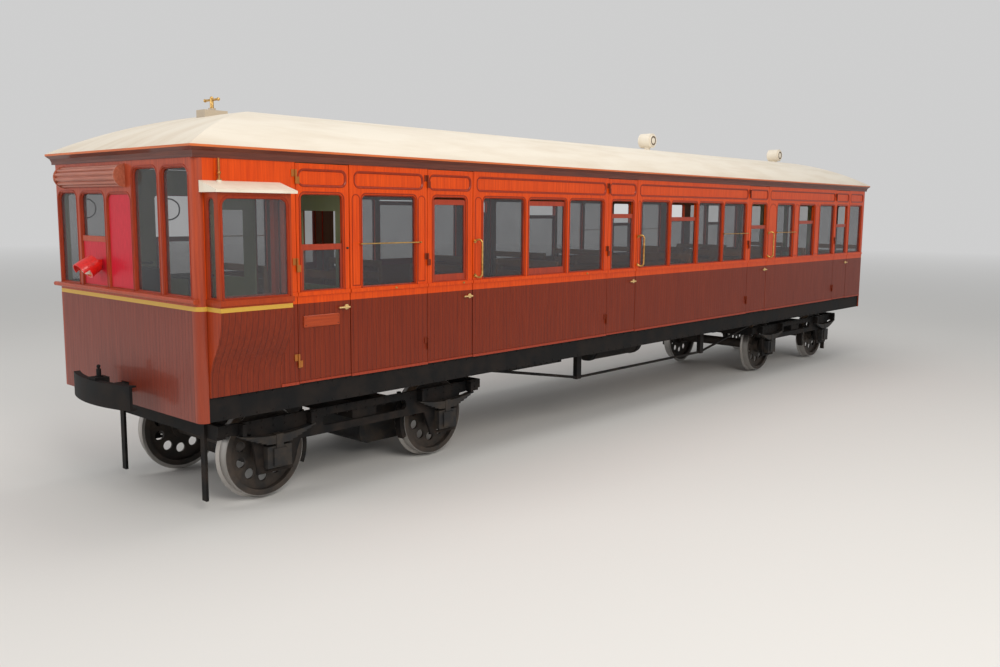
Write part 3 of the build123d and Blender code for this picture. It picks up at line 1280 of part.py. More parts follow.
def resistance_box():
    """The ribbed resistance case under the floor, on four hangers."""
    length, width, height = RESISTANCE_BOX
    head = BODY_FOOT - BEARER_DEPTH - RESISTANCE_GAP
    x = RESISTANCE_PLACE
    case = block((x - length / 2, x + length / 2), (-width / 2, width / 2), (head - height, head))
    pitch = length / RESISTANCE_RIBS
    rib_z = (head - height + RESISTANCE_RIB_MARGIN, head - RESISTANCE_RIB_MARGIN)
    proud = width / 2 + RESISTANCE_RIB_PROUD
    for number in range(RESISTANCE_RIBS):
        rib = x - length / 2 + (number + 0.5) * pitch
        case += block((rib - RESISTANCE_RIB / 2, rib + RESISTANCE_RIB / 2), (-proud, proud), rib_z)
    half = RESISTANCE_HANGER / 2
    for end in (-1, 1):
        for side in (-1, 1):
            hx = x + end * (length / 2 - RESISTANCE_HANGER_INSET)
            hy = side * (width / 2 - RESISTANCE_HANGER_INSET)
            case += block((hx - half, hx + half), (hy - half, hy + half), (head, BODY_FOOT))
    return case


def frame_plate_shape():
    """The outline of one side plate of a bogie, with its two pairs of horns and the opening between."""
    top = FRAME_TOP
    half = WHEELBASE / 2 + FRAME_OVERHANG
    axle = WHEELBASE / 2
    gap = BOX_WIDTH / 2 + HORN_CLEARANCE
    outer_leg = axle + gap + HORN_LEG
    inner_leg = axle - gap - HORN_LEG
    rail_foot = top - FRAME_RAIL
    crown = rail_foot - HORN_CROWN
    belly = top - FRAME_MID_DEPTH
    right = [
        (0, top), (half, top), (half, rail_foot), (outer_leg + HORN_SPLAY, rail_foot - HORN_SHOULDER),
        (outer_leg, HORN_FOOT), (axle + gap, HORN_FOOT), (axle + gap, crown), (axle - gap, crown),
        (axle - gap, HORN_FOOT), (inner_leg, HORN_FOOT), (inner_leg - FRAME_BELLY_RUN, belly), (0, belly),
    ]
    left = [(-px, pz) for px, pz in reversed(right)]
    opening = RectangleRounded(axle, FRAME_OPENING, FRAME_OPENING_CORNER)
    return make_face(Polyline(*right, *left[1:-1], right[0])) - Pos(0, (belly + top) / 2) * opening


def bogie_frame(centre):
    """One bogie frame: two side plates with horns, end beams, the bolster and the life guards."""
    top = FRAME_TOP
    half = WHEELBASE / 2 + FRAME_OVERHANG
    leg_span = BOX_WIDTH / 2 + HORN_CLEARANCE + HORN_LEG
    inner = JOURNAL_MIDDLE - FRAME_PLATE / 2
    shape = frame_plate_shape()
    pieces = []
    for side in (-1, 1):
        y = sorted((side * inner, side * (inner + FRAME_PLATE)))
        plane = Plane(origin=(centre, y[1], 0), x_dir=(1, 0, 0), z_dir=(0, -1, 0))
        pieces.append(extrude(plane * shape, FRAME_PLATE))
        for end in (-1, 1):
            x = centre + end * WHEELBASE / 2
            pieces.append(block((x - leg_span, x + leg_span), y, (HORN_FOOT - HORN_STAY, HORN_FOOT)))
    for end in (-1, 1):
        beam = sorted((centre + end * (half - BOGIE_BEAM), centre + end * half))
        pieces.append(block(beam, (-inner, inner), (top - BOGIE_BEAM_DEPTH, top)))
    width = BOGIE_BOLSTER_WIDTH / 2
    foot = top - BOGIE_BOLSTER_DEPTH
    bolster = block((centre - width, centre + width), (-inner, inner), (foot, top))
    bolster += rod((centre, 0, top - BOWL_SUNK), (centre, 0, BOWL_TOP), CENTRE_PLATE_RADIUS + BOWL_RIM)
    bolster -= rod((centre, 0, foot - 1), (centre, 0, BOWL_TOP + 1), KING_PIN_RADIUS + KING_PIN_CLEARANCE)
    outer = 1 if centre > 0 else -1
    for side in (-1, 1):
        x = sorted((centre + outer * half, centre + outer * (half + GUARD_BAR)))
        y = (side * GUARD_OFFSET - GUARD_WIDTH / 2, side * GUARD_OFFSET + GUARD_WIDTH / 2)
        pieces.append(block(x, y, (RAIL_TOP + GUARD_CLEARANCE, top)))
    frame = bolster
    for piece in pieces + spring_hangers(centre):
        frame += piece
    return frame


def axle_boxes(centre):
    """Four axle boxes with their lids, bored for the journals, each under its leaf spring."""
    boxes = []
    half = BOX_LENGTH / 2
    ear = BOX_WIDTH / 2 + BOX_EAR
    groove_half = FRAME_PLATE / 2 + HORN_CLEARANCE
    z = (AXLE_HEIGHT - BOX_HEIGHT / 2, AXLE_HEIGHT + BOX_HEIGHT / 2)
    for end in (-1, 1):
        x = centre + end * WHEELBASE / 2
        for side in (-1, 1):
            middle = side * JOURNAL_MIDDLE
            back = middle - side * half
            face = middle + side * half
            box = block((x - ear, x + ear), sorted((back, face)), z)
            for edge in (-1, 1):
                groove = sorted((x + edge * BOX_WIDTH / 2, x + edge * (ear + 1)))
                box -= block(groove, (middle - groove_half, middle + groove_half), (z[0] - 1, z[1] + 1))
            box -= rod((x, back - side, AXLE_HEIGHT), (x, face - side * BOX_BACK, AXLE_HEIGHT),
                       JOURNAL_RADIUS + JOURNAL_CLEARANCE)
            lid = sorted((face, face + side * BOX_LID))
            box += block((x - BOX_LID_WIDTH / 2, x + BOX_LID_WIDTH / 2), lid,
                         (z[0] + BOX_LID_MARGIN, z[1] - BOX_LID_MARGIN))
            boxes.append(box + leaf_spring(x, side, z[1]))
    return boxes


def leaf_spring(x, side, foot):
    """A stack of leaves on the box: each leaf shorter than the one above, all with the same camber."""
    inner = side * (JOURNAL_MIDDLE + FRAME_PLATE / 2 + SPRING_GAP)
    y = sorted((inner, inner + side * SPRING_WIDTH))
    plane = Plane(origin=(x, y[1], 0), x_dir=(1, 0, 0), z_dir=(0, -1, 0))
    head = foot + SPRING_SEAT + SPRING_LEAVES * SPRING_LEAF + SPRING_BUCKLE_RISE
    stack = block((x - SPRING_BUCKLE / 2, x + SPRING_BUCKLE / 2),
                  (y[0] - SPRING_BUCKLE_PROUD, y[1] + SPRING_BUCKLE_PROUD), (foot - SPRING_BUCKLE_LAP, head))
    for leaf in range(SPRING_LEAVES):
        reach = SPRING_HALF_SPAN - (SPRING_LEAVES - 1 - leaf) * SPRING_STEP
        low = foot + SPRING_SEAT + leaf * SPRING_LEAF
        high = low + SPRING_LEAF
        rise = SPRING_CAMBER * (reach / SPRING_HALF_SPAN) ** 2
        lines = ThreePointArc((-reach, low + rise), (0, low), (reach, low + rise))
        lines += Polyline((reach, low + rise), (reach, high + rise))
        lines += ThreePointArc((reach, high + rise), (0, high), (-reach, high + rise))
        lines += Polyline((-reach, high + rise), (-reach, low + rise))
        stack += extrude(plane * make_face(lines), SPRING_WIDTH)
    return stack


def spring_hangers(centre):
    """The brackets on the frame that carry the ends of the leaf springs."""
    hangers = []
    spring_head = AXLE_HEIGHT + BOX_HEIGHT / 2 + SPRING_SEAT + SPRING_LEAVES * SPRING_LEAF + SPRING_CAMBER
    for end in (-1, 1):
        x = centre + end * WHEELBASE / 2
        for side in (-1, 1):
            face = side * (JOURNAL_MIDDLE + FRAME_PLATE / 2)
            y = sorted((face, face + side * (SPRING_WIDTH + HANGER_PROUD)))
            for tip in (-1, 1):
                place = x + tip * (SPRING_HALF_SPAN - HANGER)
                span = (place - HANGER / 2, place + HANGER / 2)
                hangers.append(block(span, y, (spring_head + HANGER_CLEARANCE, FRAME_TOP)))
    return hangers


def brake_gear(centre):
    """The brake block of each wheel on its hanger, pinned to the bogie's side plate."""
    gear = []
    inner = WHEEL_RADIUS + SHOE_CLEARANCE
    outer = inner + SHOE_THICKNESS
    slope = sin(radians(SHOE_ANGLE))
    wedge = Polyline((0, 0), (2 * outer, -2 * outer * slope), (2 * outer, 2 * outer * slope), (0, 0))
    sector = (Circle(outer) - Circle(inner)) & make_face(wedge)
    pin_z = FRAME_TOP - 2 * SHOE_HANGER
    for end in (-1, 1):
        x = centre + end * WHEELBASE / 2
        facing = Rot(0, 0, 180) * sector if end > 0 else sector
        hx = x - end * (inner + SHOE_THICKNESS / 2)
        for side in (-1, 1):
            y = side * (BACK_TO_BACK + TYRE_WIDTH + FLANGE_WIDTH) / 2
            plane = Plane(origin=(x, y + SHOE_WIDTH / 2, AXLE_HEIGHT), x_dir=(1, 0, 0), z_dir=(0, -1, 0))
            shoe = extrude(plane * facing, SHOE_WIDTH)
            shoe += block((hx - SHOE_HANGER / 2, hx + SHOE_HANGER / 2),
                          (y - SHOE_HANGER_DEPTH / 2, y + SHOE_HANGER_DEPTH / 2),
                          (AXLE_HEIGHT, FRAME_TOP - SHOE_HANGER))
            plate = side * (JOURNAL_MIDDLE - FRAME_PLATE / 2)
            shoe += rod((hx, y, pin_z), (hx, plate, pin_z), SHOE_PIN_RADIUS)
            gear.append(shoe)
    return gear


def motors(centre):
    """The two traction motors of the driving bogie, as plain cases between wheel and bolster."""
    cases = []
    z = (AXLE_HEIGHT - MOTOR_BELOW_AXLE, AXLE_HEIGHT + MOTOR_ABOVE_AXLE)
    bolster_foot = FRAME_TOP - BOGIE_BOLSTER_DEPTH
    nose_z = (bolster_foot - MOTOR_NOSE_DROP, bolster_foot + MOTOR_NOSE_LAP)
    for end in (-1, 1):
        near = centre + end * (WHEELBASE / 2 - AXLE_RADIUS - MOTOR_AXLE_GAP)
        far = near - end * MOTOR_LENGTH
        place = Pos((near + far) / 2, (z[0] + z[1]) / 2)
        shape = place * RectangleRounded(MOTOR_LENGTH, z[1] - z[0], MOTOR_CORNER)
        case = extrude(side_plane(MOTOR_WIDTH / 2) * shape, MOTOR_WIDTH)
        nose = sorted((far + end * MOTOR_CORNER, centre + end * BOGIE_BOLSTER_WIDTH / 2))
        cases.append(case + block(nose, (-MOTOR_NOSE / 2, MOTOR_NOSE / 2), nose_z))
    return cases


def wheelset():
    """Two flanged wheels and their axle, turned as one profile about Y."""
    back = BACK_TO_BACK / 2
    face = back + TYRE_WIDTH
    web = back + TYRE_WIDTH / 2
    flange = WHEEL_RADIUS + FLANGE_DEPTH
    rim = WHEEL_RADIUS - TYRE_THICKNESS
    hub_in, hub_out = web - HUB_LENGTH / 2, web + HUB_LENGTH / 2
    disc_in, disc_out = web - WHEEL_DISC / 2, web + WHEEL_DISC / 2
    tip = JOURNAL_MIDDLE + BOX_LENGTH / 2 - BOX_BACK - JOURNAL_END_GAP
    half = [
        (0, AXLE_RADIUS), (hub_in, AXLE_SEAT_RADIUS), (hub_in, HUB_RADIUS), (disc_in, HUB_RADIUS),
        (disc_in, rim), (back, rim), (back, flange - FLANGE_BACK), (back + FLANGE_BACK, flange),
        (back + FLANGE_TIP, flange), (back + FLANGE_WIDTH, WHEEL_RADIUS), (face, WHEEL_RADIUS - TREAD_TAPER),
        (face, rim), (disc_out, rim), (disc_out, HUB_RADIUS), (hub_out, HUB_RADIUS),
        (hub_out, AXLE_SHOULDER_RADIUS), (hub_out + AXLE_SHOULDER, JOURNAL_RADIUS), (tip, JOURNAL_RADIUS),
    ]
    other = [(-py, pr) for py, pr in reversed(half)]
    outline = Polyline(*other, *half[1:], (tip, 0), (-tip, 0), other[0])
    profile = Plane(origin=(0, 0, 0), x_dir=(0, 1, 0), z_dir=(1, 0, 0)) * make_face(outline)
    ring = (HUB_RADIUS + rim) / 2
    widest = pi * ring / WHEEL_HOLES - WHEEL_HOLE_SPACING / 2
    hole_radius = min((rim - HUB_RADIUS) / 2 - WHEEL_HOLE_MARGIN, widest)
    holes = []
    for number in range(WHEEL_HOLES):
        angle = 2 * pi * (number + 0.5) / WHEEL_HOLES
        x = ring * cos(angle)
        z = ring * sin(angle)
        holes.append(rod((x, -face - 1, z), (x, face + 1, z), hole_radius))
    return revolve(profile, Axis.Y) - holes


def as_node(solids):
    """One exported shape from a solid or from a list of solids that do not touch."""
    if isinstance(solids, list):
        bodies = []
        for solid in solids:
            bodies.extend(solid.solids())
        return Compound(children=bodies)
    found = solids.solids()
    return found[0] if len(found) == 1 else Compound(children=list(found))


os.makedirs("parts", exist_ok=True)

plain_panels = [side_panel(index) for index in range(len(SIDE_PANELS))]
nodes = {
    "side_wall_left": plain_panels,
    "side_wall_right": mirrored(plain_panels),
    "side_mouldings": left_mouldings(has_bay=True) + mirrored(left_mouldings(has_bay=False)),
    "front_end": front_end(),
    "rear_end": rear_end(),
    "cornice": cornice(),
    "roof": roof(),
    "roof_ventilators": roof_ventilators(),
    "whistle": whistle(),
    "floor": floor(),
    "underframe": underframe(),
    "truss_rods": truss_rods(),
    "lookout_bay": lookout_bay(),
    "bay_roof": bay_roof(),
    "front_sill": front_sill(),
    "reeded_hood": reeded_hood(),
    "red_lamp": red_lamp(),
    "red_panels": red_panels(),
    "mullion_rings": mullion_rings(),
    "windows_left": left_windows(1),
    "windows_right": mirrored(left_windows(0)),
    "end_windows": end_windows(),
    "cab_partition": cab_partition(),
    "benches": benches(),
    "cab_controls": cab_controls(),
    "grab_rails": grab_rails(),
    "buffers": buffers(),
    "reservoirs": reservoirs(),
    "resistance_box": resistance_box(),
}
for index in range(len(DOORWAYS)):
    leaf = left_door(index)
    window = sliding_sash(*door_light(index), DOORWAYS[index]["lowered"], DOOR_THICKNESS)
    for side, solids in (("left", [leaf, window]), ("right", mirrored([leaf, window]))):
        nodes["door_" + side + "_" + str(index + 1)] = solids[0]
        nodes["door_window_" + side + "_" + str(index + 1)] = solids[1]
wheels = wheelset()
for place, end in (("front", 1), ("rear", -1)):
    centre = end * BOGIE_CENTRES / 2
    nodes["bogie_frame_" + place] = bogie_frame(centre)
    nodes["axle_boxes_" + place] = axle_boxes(centre)
    nodes["brake_gear_" + place] = brake_gear(centre)
    nodes["wheelset_" + place + "_outer"] = Pos(centre + end * WHEELBASE / 2, 0, AXLE_HEIGHT) * wheels
    nodes["wheelset_" + place + "_inner"] = Pos(centre - end * WHEELBASE / 2, 0, AXLE_HEIGHT) * wheels
nodes["motors"] = motors(BOGIE_CENTRES / 2)
for name, solids in nodes.items():
    export_step(as_node(solids), "parts/" + name + ".step")
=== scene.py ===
import bmesh
import bpy
import numpy as np
from mathutils import Matrix


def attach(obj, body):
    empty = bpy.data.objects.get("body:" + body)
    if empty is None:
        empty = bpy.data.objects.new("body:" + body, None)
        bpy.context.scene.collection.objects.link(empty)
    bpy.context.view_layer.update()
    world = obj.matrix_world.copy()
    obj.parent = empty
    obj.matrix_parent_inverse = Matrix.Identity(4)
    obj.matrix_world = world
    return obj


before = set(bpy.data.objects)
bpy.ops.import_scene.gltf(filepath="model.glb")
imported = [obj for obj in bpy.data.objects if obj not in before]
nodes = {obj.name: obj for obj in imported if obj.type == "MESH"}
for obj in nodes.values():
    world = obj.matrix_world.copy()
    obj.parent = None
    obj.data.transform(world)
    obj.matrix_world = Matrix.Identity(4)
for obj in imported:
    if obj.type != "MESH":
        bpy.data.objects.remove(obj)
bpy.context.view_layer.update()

# The studio: a pale floor under the wheels, an even pale surround, and three broad soft lamps.
# The colours are written as they should look, so the view transform is the plain one.
bpy.context.scene.view_settings.view_transform = "Standard"


class Wire:
    """A node's output that takes part in sums: each operator adds one Math node to its finish."""

    def __init__(self, finish, socket):
        self.finish = finish
        self.socket = socket

    def reckon(self, operation, *terms):
        return self.finish.add("ShaderNodeMath", {"operation": operation}, dict(enumerate(terms)))

    def __add__(self, other):
        return self.reckon("ADD", self, other)

    def __radd__(self, other):
        return self.reckon("ADD", other, self)

    def __sub__(self, other):
        return self.reckon("SUBTRACT", self, other)

    def __rsub__(self, other):
        return self.reckon("SUBTRACT", other, self)

    def __mul__(self, other):
        return self.reckon("MULTIPLY", self, other)

    def __rmul__(self, other):
        return self.reckon("MULTIPLY", other, self)

    def __truediv__(self, other):
        return self.reckon("DIVIDE", self, other)

    def __pow__(self, other):
        return self.reckon("POWER", self, other)

    def __abs__(self):
        return self.reckon("ABSOLUTE", self)

    def __gt__(self, other):
        return self.reckon("GREATER_THAN", self, other)

    def __lt__(self, other):
        return self.reckon("LESS_THAN", self, other)

    def whole(self):
        return self.reckon("FLOOR", self)

    def part(self):
        return self.reckon("FRACT", self)

    def ramp(self, low, high):
        """0 below low, 1 above high, and a straight line between."""
        return self.finish.add("ShaderNodeMapRange", {"clamp": True},
                               {0: self, 1: low, 2: high, 3: 0.0, 4: 1.0})


class Finish:
    """One material being written down. Its x, y and z are the object coordinates in metres."""

    def __init__(self, name):
        self.material = bpy.data.materials.new(name)
        self.material.use_nodes = True
        self.tree = self.material.node_tree
        self.shader = self.tree.nodes["Principled BSDF"]
        self.place = self.add("ShaderNodeTexCoord", output="Object")
        self.x, self.y, self.z = (self.add("ShaderNodeSeparateXYZ", {}, {0: self.place}, axis)
                                  for axis in range(3))

    def add(self, kind, settings=None, inputs=None, output=0):
        """Makes one node: its settings first, then values or wires on its sockets. Returns one output."""
        node = self.tree.nodes.new(kind)
        for key, value in (settings or {}).items():
            setattr(node, key, value)
        for key, value in (inputs or {}).items():
            if isinstance(value, Wire):
                self.tree.links.new(value.socket, node.inputs[key])
            else:
                node.inputs[key].default_value = value
        return Wire(self, node.outputs[output])

    def mix(self, share, first, second):
        """The first colour where share is 0 and the second where it is 1."""
        first, second = ((*c, 1.0) if isinstance(c, tuple) else c for c in (first, second))
        return self.add("ShaderNodeMix", {"data_type": "RGBA"}, {0: share, 6: first, 7: second}, 2)

    def noise(self, stretch=(1.0, 1.0, 1.0), scale=1.0, detail=4.0, rough=0.55):
        """Cloudy values about 0.5; stretch is how many times finer the pattern is along each axis."""
        place = self.add("ShaderNodeVectorMath", {"operation": "MULTIPLY"}, {0: self.place, 1: stretch})
        return self.add("ShaderNodeTexNoise", {}, {"Vector": place, "Scale": scale, "Detail": detail,
                                                   "Roughness": rough})

    def set(self, **sockets):
        """Puts values or wires on the shader; underscores in a key stand for the spaces in a name."""
        for key, value in sockets.items():
            socket = self.shader.inputs[key.replace("_", " ")]
            if isinstance(value, Wire):
                self.tree.links.new(value.socket, socket)
            else:
                opaque = isinstance(value, tuple) and len(value) == 3
                socket.default_value = (*value, 1.0) if opaque else value
        return self

    def relief(self, height, depth):
        """Bumps the surface by height, 0 to 1, times a depth in metres."""
        bump = self.add("ShaderNodeBump", {}, {"Strength": 1.0, "Distance": depth, "Height": height})
        return self.set(Normal=bump)

    def on(self, *names):
        """Gives the finish to CAD nodes."""
        for name in names:
            nodes[name].material_slots[0].material = self.material
        return self


def quads(rows, columns, wrap_rows=False, wrap_columns=False):
    """Faces of a grid whose point (i, j) has the number i * columns + j: a quad for each four neighbours."""
    i = np.arange(rows if wrap_rows else rows - 1)[:, None]
    j = np.arange(columns if wrap_columns else columns - 1)[None, :]
    below, beside = (i + 1) % rows, (j + 1) % columns
    corners = (i * columns + j, below * columns + j, below * columns + beside, i * columns + beside)
    return np.stack(np.broadcast_arrays(*corners), -1).reshape(-1, 4)


class Shape:
    """Forms gathered into one mesh, which is smooth where its faces meet at less than an angle in radians."""

    SMOOTH_BELOW, MERGE_WITHIN = 0.6, 1e-6

    def __init__(self):
        self.points, self.faces, self.count = [], [], 0

    def grid(self, points, wrap_rows=False, wrap_columns=False, ends=False):
        """A rows x columns x 3 array as a sheet of quads; ends closes the first and last row with a face."""
        rows, columns = points.shape[:2]
        faces = (quads(rows, columns, wrap_rows, wrap_columns) + self.count).tolist()
        if ends:
            faces.append(list(range(self.count + columns - 1, self.count - 1, -1)))
            faces.append(list(range(self.count + (rows - 1) * columns, self.count + rows * columns)))
        self.points.append(points.reshape(-1, 3))
        self.faces.extend(faces)
        self.count += rows * columns
        return self

    def piece(self, name, finish, body, slot):
        """Makes the object: doubles merged, normals outwards, riding on a body."""
        mesh = bpy.data.meshes.new(name)
        mesh.from_pydata(np.concatenate(self.points).tolist(), [], self.faces)
        made = bpy.data.objects.new(name, mesh)
        bpy.context.scene.collection.objects.link(made)
        tidy = bmesh.new()
        tidy.from_mesh(mesh)
        bmesh.ops.remove_doubles(tidy, verts=tidy.verts, dist=self.MERGE_WITHIN)
        bmesh.ops.recalc_face_normals(tidy, faces=tidy.faces)
        tidy.to_mesh(mesh)
        tidy.free()
        mesh.shade_smooth()
        mesh.set_sharp_from_angle(angle=self.SMOOTH_BELOW)
        mesh.materials.append(finish.material)
        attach(made, body)


# The floor: a broad matt disc just under the wheels, which takes the carriage's shadow. Far off it fades into
# the surround's own level, so that no horizon shows behind the carriage.
SEEN_LEVEL, LIT_LEVEL = 0.62, 0.54
FADE_FROM, FADE_TO, FLOOR_INNER, FLOOR_OUTER, FLOOR_HEIGHT, FLOOR_SIDES = 14.0, 60.0, 0.05, 160.0, -0.003, 96
FLOOR_WHITE, UNLIT = (0.74, 0.735, 0.72), (0.0, 0.0, 0.0)
floor_paint = Finish("studio_floor")
far_off = ((floor_paint.x ** 2.0 + floor_paint.y ** 2.0) ** 0.5).ramp(FADE_FROM, FADE_TO)
floor_paint.set(Base_Color=floor_paint.mix(far_off, FLOOR_WHITE, UNLIT),
                Roughness=0.75, Specular_IOR_Level=0.0,
                Emission_Color=floor_paint.mix(far_off, UNLIT, (SEEN_LEVEL,) * 3), Emission_Strength=1.0)
sweep = np.linspace(0, 2 * np.pi, FLOOR_SIDES + 1)[:-1]
studio = Shape()
studio.grid(np.stack([np.stack([r * np.cos(sweep), r * np.sin(sweep), 0 * sweep + FLOOR_HEIGHT], -1)
                      for r in (FLOOR_INNER, FLOOR_OUTER)]), wrap_columns=True)
studio_mesh = bpy.data.meshes.new("studio_floor")
studio_mesh.from_pydata(studio.points[0].tolist(), [], studio.faces + [list(range(FLOOR_SIDES))])
studio_floor = bpy.data.objects.new("studio_floor", studio_mesh)
studio_mesh.materials.append(floor_paint.material)
bpy.context.scene.collection.objects.link(studio_floor)

# The surround: an even white that lights the carriage at one level, and shows to the camera, to gloss and
# to glass at the floor's far level. The kinds of ray are added up, and their sum chooses between the two.
world = bpy.data.worlds.new("studio")
bpy.context.scene.world = world
world.use_nodes = True
surround = world.node_tree
backdrop = surround.nodes["Background"]
backdrop.inputs["Color"].default_value = (1.0, 1.0, 1.0, 1.0)
rays = surround.nodes.new("ShaderNodeLightPath")
seen = None
for kind in ("Is Camera Ray", "Is Glossy Ray", "Is Transmission Ray"):
    total = surround.nodes.new("ShaderNodeMath")
    total.use_clamp = True
    total.inputs[1].default_value = 0.0
    surround.links.new(rays.outputs[kind], total.inputs[0])
    if seen is not None:
        surround.links.new(seen.outputs[0], total.inputs[1])
    seen = total
strength = surround.nodes.new("ShaderNodeMapRange")
strength.inputs["To Min"].default_value = LIT_LEVEL
strength.inputs["To Max"].default_value = SEEN_LEVEL
surround.links.new(seen.outputs[0], strength.inputs["Value"])
surround.links.new(strength.outputs[0], backdrop.inputs["Strength"])

# Lamps: three broad soft squares, a warm one on the left side, a paler one before the driving end and one
# overhead. Each has a name, a place, the point that it looks at, a side length, watts and a colour.
LAMPS = [
    ("key", (9.0, 13.0, 9.0), (1.5, 0.0, 1.5), 7.0, 1050.0, (1.0, 0.95, 0.88)),
    ("end", (19.0, -5.0, 7.0), (6.5, 0.0, 1.6), 6.0, 560.0, (1.0, 0.97, 0.94)),
    ("top", (0.0, 1.0, 12.0), (0.0, 0.0, 3.0), 10.0, 420.0, (1.0, 0.96, 0.9)),
]
for name, place, target, length, watts, colour in LAMPS:
    lamp = bpy.data.lights.new(name + "_lamp", "AREA")
    lamp.size, lamp.energy, lamp.color = length, watts, colour
    holder = bpy.data.objects.new(name + "_lamp", lamp)
    away = np.subtract(place, target)
    across = np.cross((0.0, 0.0, 1.0), away)
    basis = np.stack([v / np.linalg.norm(v) for v in (across, np.cross(away, across), away)], 1)
    holder.matrix_world = Matrix.Translation(place) @ Matrix(basis.tolist()).to_4x4()
    bpy.context.scene.collection.objects.link(holder)

# The camera: the photograph's eye point and direction, fitted to the sills, eaves and solebars of the
# carriage. It stands about eight metres off the driving end's left corner, a little below the roof.
EYE = (10.7256, 8.0417, 2.6811)
HEADING, PITCH, ROLL = np.radians((-137.872, -7.574, 0.503))
FOCAL_PIXELS, IMAGE_PIXELS, SENSOR, FAR_CLIP = 933.08, 1000.0, 36.0, 300.0
ahead = np.array([np.cos(HEADING) * np.cos(PITCH), np.sin(HEADING) * np.cos(PITCH), np.sin(PITCH)])
rightward = np.cross(ahead, (0.0, 0.0, 1.0))
rightward /= np.linalg.norm(rightward)
upward = np.cross(rightward, ahead)
image_x = np.cos(ROLL) * rightward + np.sin(ROLL) * upward
image_y = np.cos(ROLL) * upward - np.sin(ROLL) * rightward
lens = bpy.data.cameras.new("camera")
lens.sensor_width = SENSOR
lens.lens = SENSOR * FOCAL_PIXELS / IMAGE_PIXELS
lens.clip_end = FAR_CLIP
camera = bpy.data.objects.new("camera", lens)
facing = Matrix(np.stack([image_x, image_y, -ahead], 1).tolist()).to_4x4()
camera.matrix_world = Matrix.Translation(EYE) @ facing
bpy.context.scene.collection.objects.link(camera)
bpy.context.scene.camera = camera

# Wheels and axles: forged steel, the tread and flange rubbed bright by the rail, the disc and axle dark with
# oil and brake dust. The four sets are alike, so one finish finds each axle from its distance along.
BOGIE_CENTRE, AXLE_OFFSET, AXLE_HEIGHT, TREAD = 4.877, 1.067, 0.447, 0.419
RUB_FROM, RUB_TO = TREAD - 0.012, TREAD - 0.004
steel = Finish("wheel_steel")
from_axle = abs(abs(abs(steel.x) - BOGIE_CENTRE) - AXLE_OFFSET)
radius = (from_axle ** 2.0 + (steel.z - AXLE_HEIGHT) ** 2.0) ** 0.5
dust = steel.noise(scale=9.0, detail=6.0)
bright = radius.ramp(RUB_FROM, RUB_TO)
oily = steel.mix(dust.ramp(0.35, 0.7), (0.022, 0.019, 0.017), (0.06, 0.043, 0.032))
steel.set(Base_Color=steel.mix(bright, oily, (0.46, 0.44, 0.42)), Metallic=bright * 0.9 + 0.05,
          Roughness=0.62 - bright * 0.3 + dust * 0.12)
steel.relief(dust, 0.002)
steel.on("wheelset_front_outer", "wheelset_front_inner", "wheelset_rear_outer", "wheelset_rear_inner")

# Bogies, underframe and running gear: riveted steel plate and castings under black paint that has dulled,
# with brown brake dust settled on it and thicker low down by the wheels.
DUST_FOOT, DUST_HEAD = 0.15, 0.95
iron = Finish("black_iron")
grime = iron.noise(scale=5.0, detail=7.0)
speck = iron.noise(scale=70.0, detail=3.0)
low_down = 1.0 - iron.z.ramp(DUST_FOOT, DUST_HEAD)
iron.set(Base_Color=iron.mix(grime.ramp(0.4, 0.75) * (0.3 + 0.5 * low_down), (0.005, 0.005, 0.0055),
                             (0.05, 0.034, 0.025)),
         Roughness=0.55 + grime * 0.25, Specular_IOR_Level=0.2)
iron.relief(speck * 0.5 + grime * 0.5, 0.0015)
iron.on("underframe", "truss_rods", "buffers", "reservoirs", "bogie_frame_front", "bogie_frame_rear",
        "brake_gear_front", "brake_gear_rear")

# Axle boxes, motors, resistance case and controls: sand castings with a pebbled skin, black and oily. The
# oval rings behind the mullions of the driving end are cast and blackened in the same way.
casting = Finish("rough_casting")
sand = casting.noise(scale=120.0, detail=4.0)
oil = casting.noise(scale=7.0, detail=5.0)
casting.set(Base_Color=casting.mix(oil.ramp(0.4, 0.7), (0.013, 0.013, 0.014), (0.045, 0.034, 0.025)),
            Roughness=0.5 + oil * 0.25, Specular_IOR_Level=0.35)
casting.relief(sand, 0.002)
casting.on("axle_boxes_front", "axle_boxes_rear", "motors", "resistance_box", "cab_controls", "mullion_rings")

# Rivets: snap heads closed hot through the steel, at even spaces along the top and foot of both solebars,
# and in two rows along the top rail of each pressed side frame of the bogies.
SOLEBAR_FACE, SOLEBAR_ROWS, SOLEBAR_REACH, SOLEBAR_PITCH = 1.275, (0.947, 1.117), 6.64, 0.16
FRAME_FACE, FRAME_ROWS, FRAME_REACH, FRAME_COUNT = 0.969, (0.722, 0.783), 1.56, 27
RIVET_HEAD = [(0.0105, -0.001), (0.0105, 0.001), (0.0085, 0.0045), (0.005, 0.0066), (0.0015, 0.0072)]
RIVET_SIDES, CAPPED = 8, dict(wrap_columns=True, ends=True)


def turned(profile, centre, axis, around=20):
    """Rows of (radius, way) turned round an axis: centre + way * axis + radius * a spoke at each angle."""
    axis = np.divide(axis, np.linalg.norm(axis))
    side = np.cross(axis, (1.0, 0.0, 0.0) if abs(axis[1]) > 0.9 else (0.0, 1.0, 0.0))
    side = side / np.linalg.norm(side)
    turn = np.linspace(0.0, 2 * np.pi, around + 1)[:-1, None]
    spokes = np.cos(turn) * side + np.sin(turn) * np.cross(axis, side)
    radius, way = np.array(profile).T[:, :, None, None]
    return np.array(centre) + way * axis + radius * spokes[None]


def rivet_rows(face, heights, places):
    """A turned head at every height and place along, face metres out on each side of the middle."""
    rivets = Shape()
    for sign in (1.0, -1.0):
        for height in heights:
            for x in places:
                foot, out = (x, sign * face, height), (0.0, sign, 0.0)
                rivets.grid(turned(RIVET_HEAD, foot, out, RIVET_SIDES), **CAPPED)
    return rivets


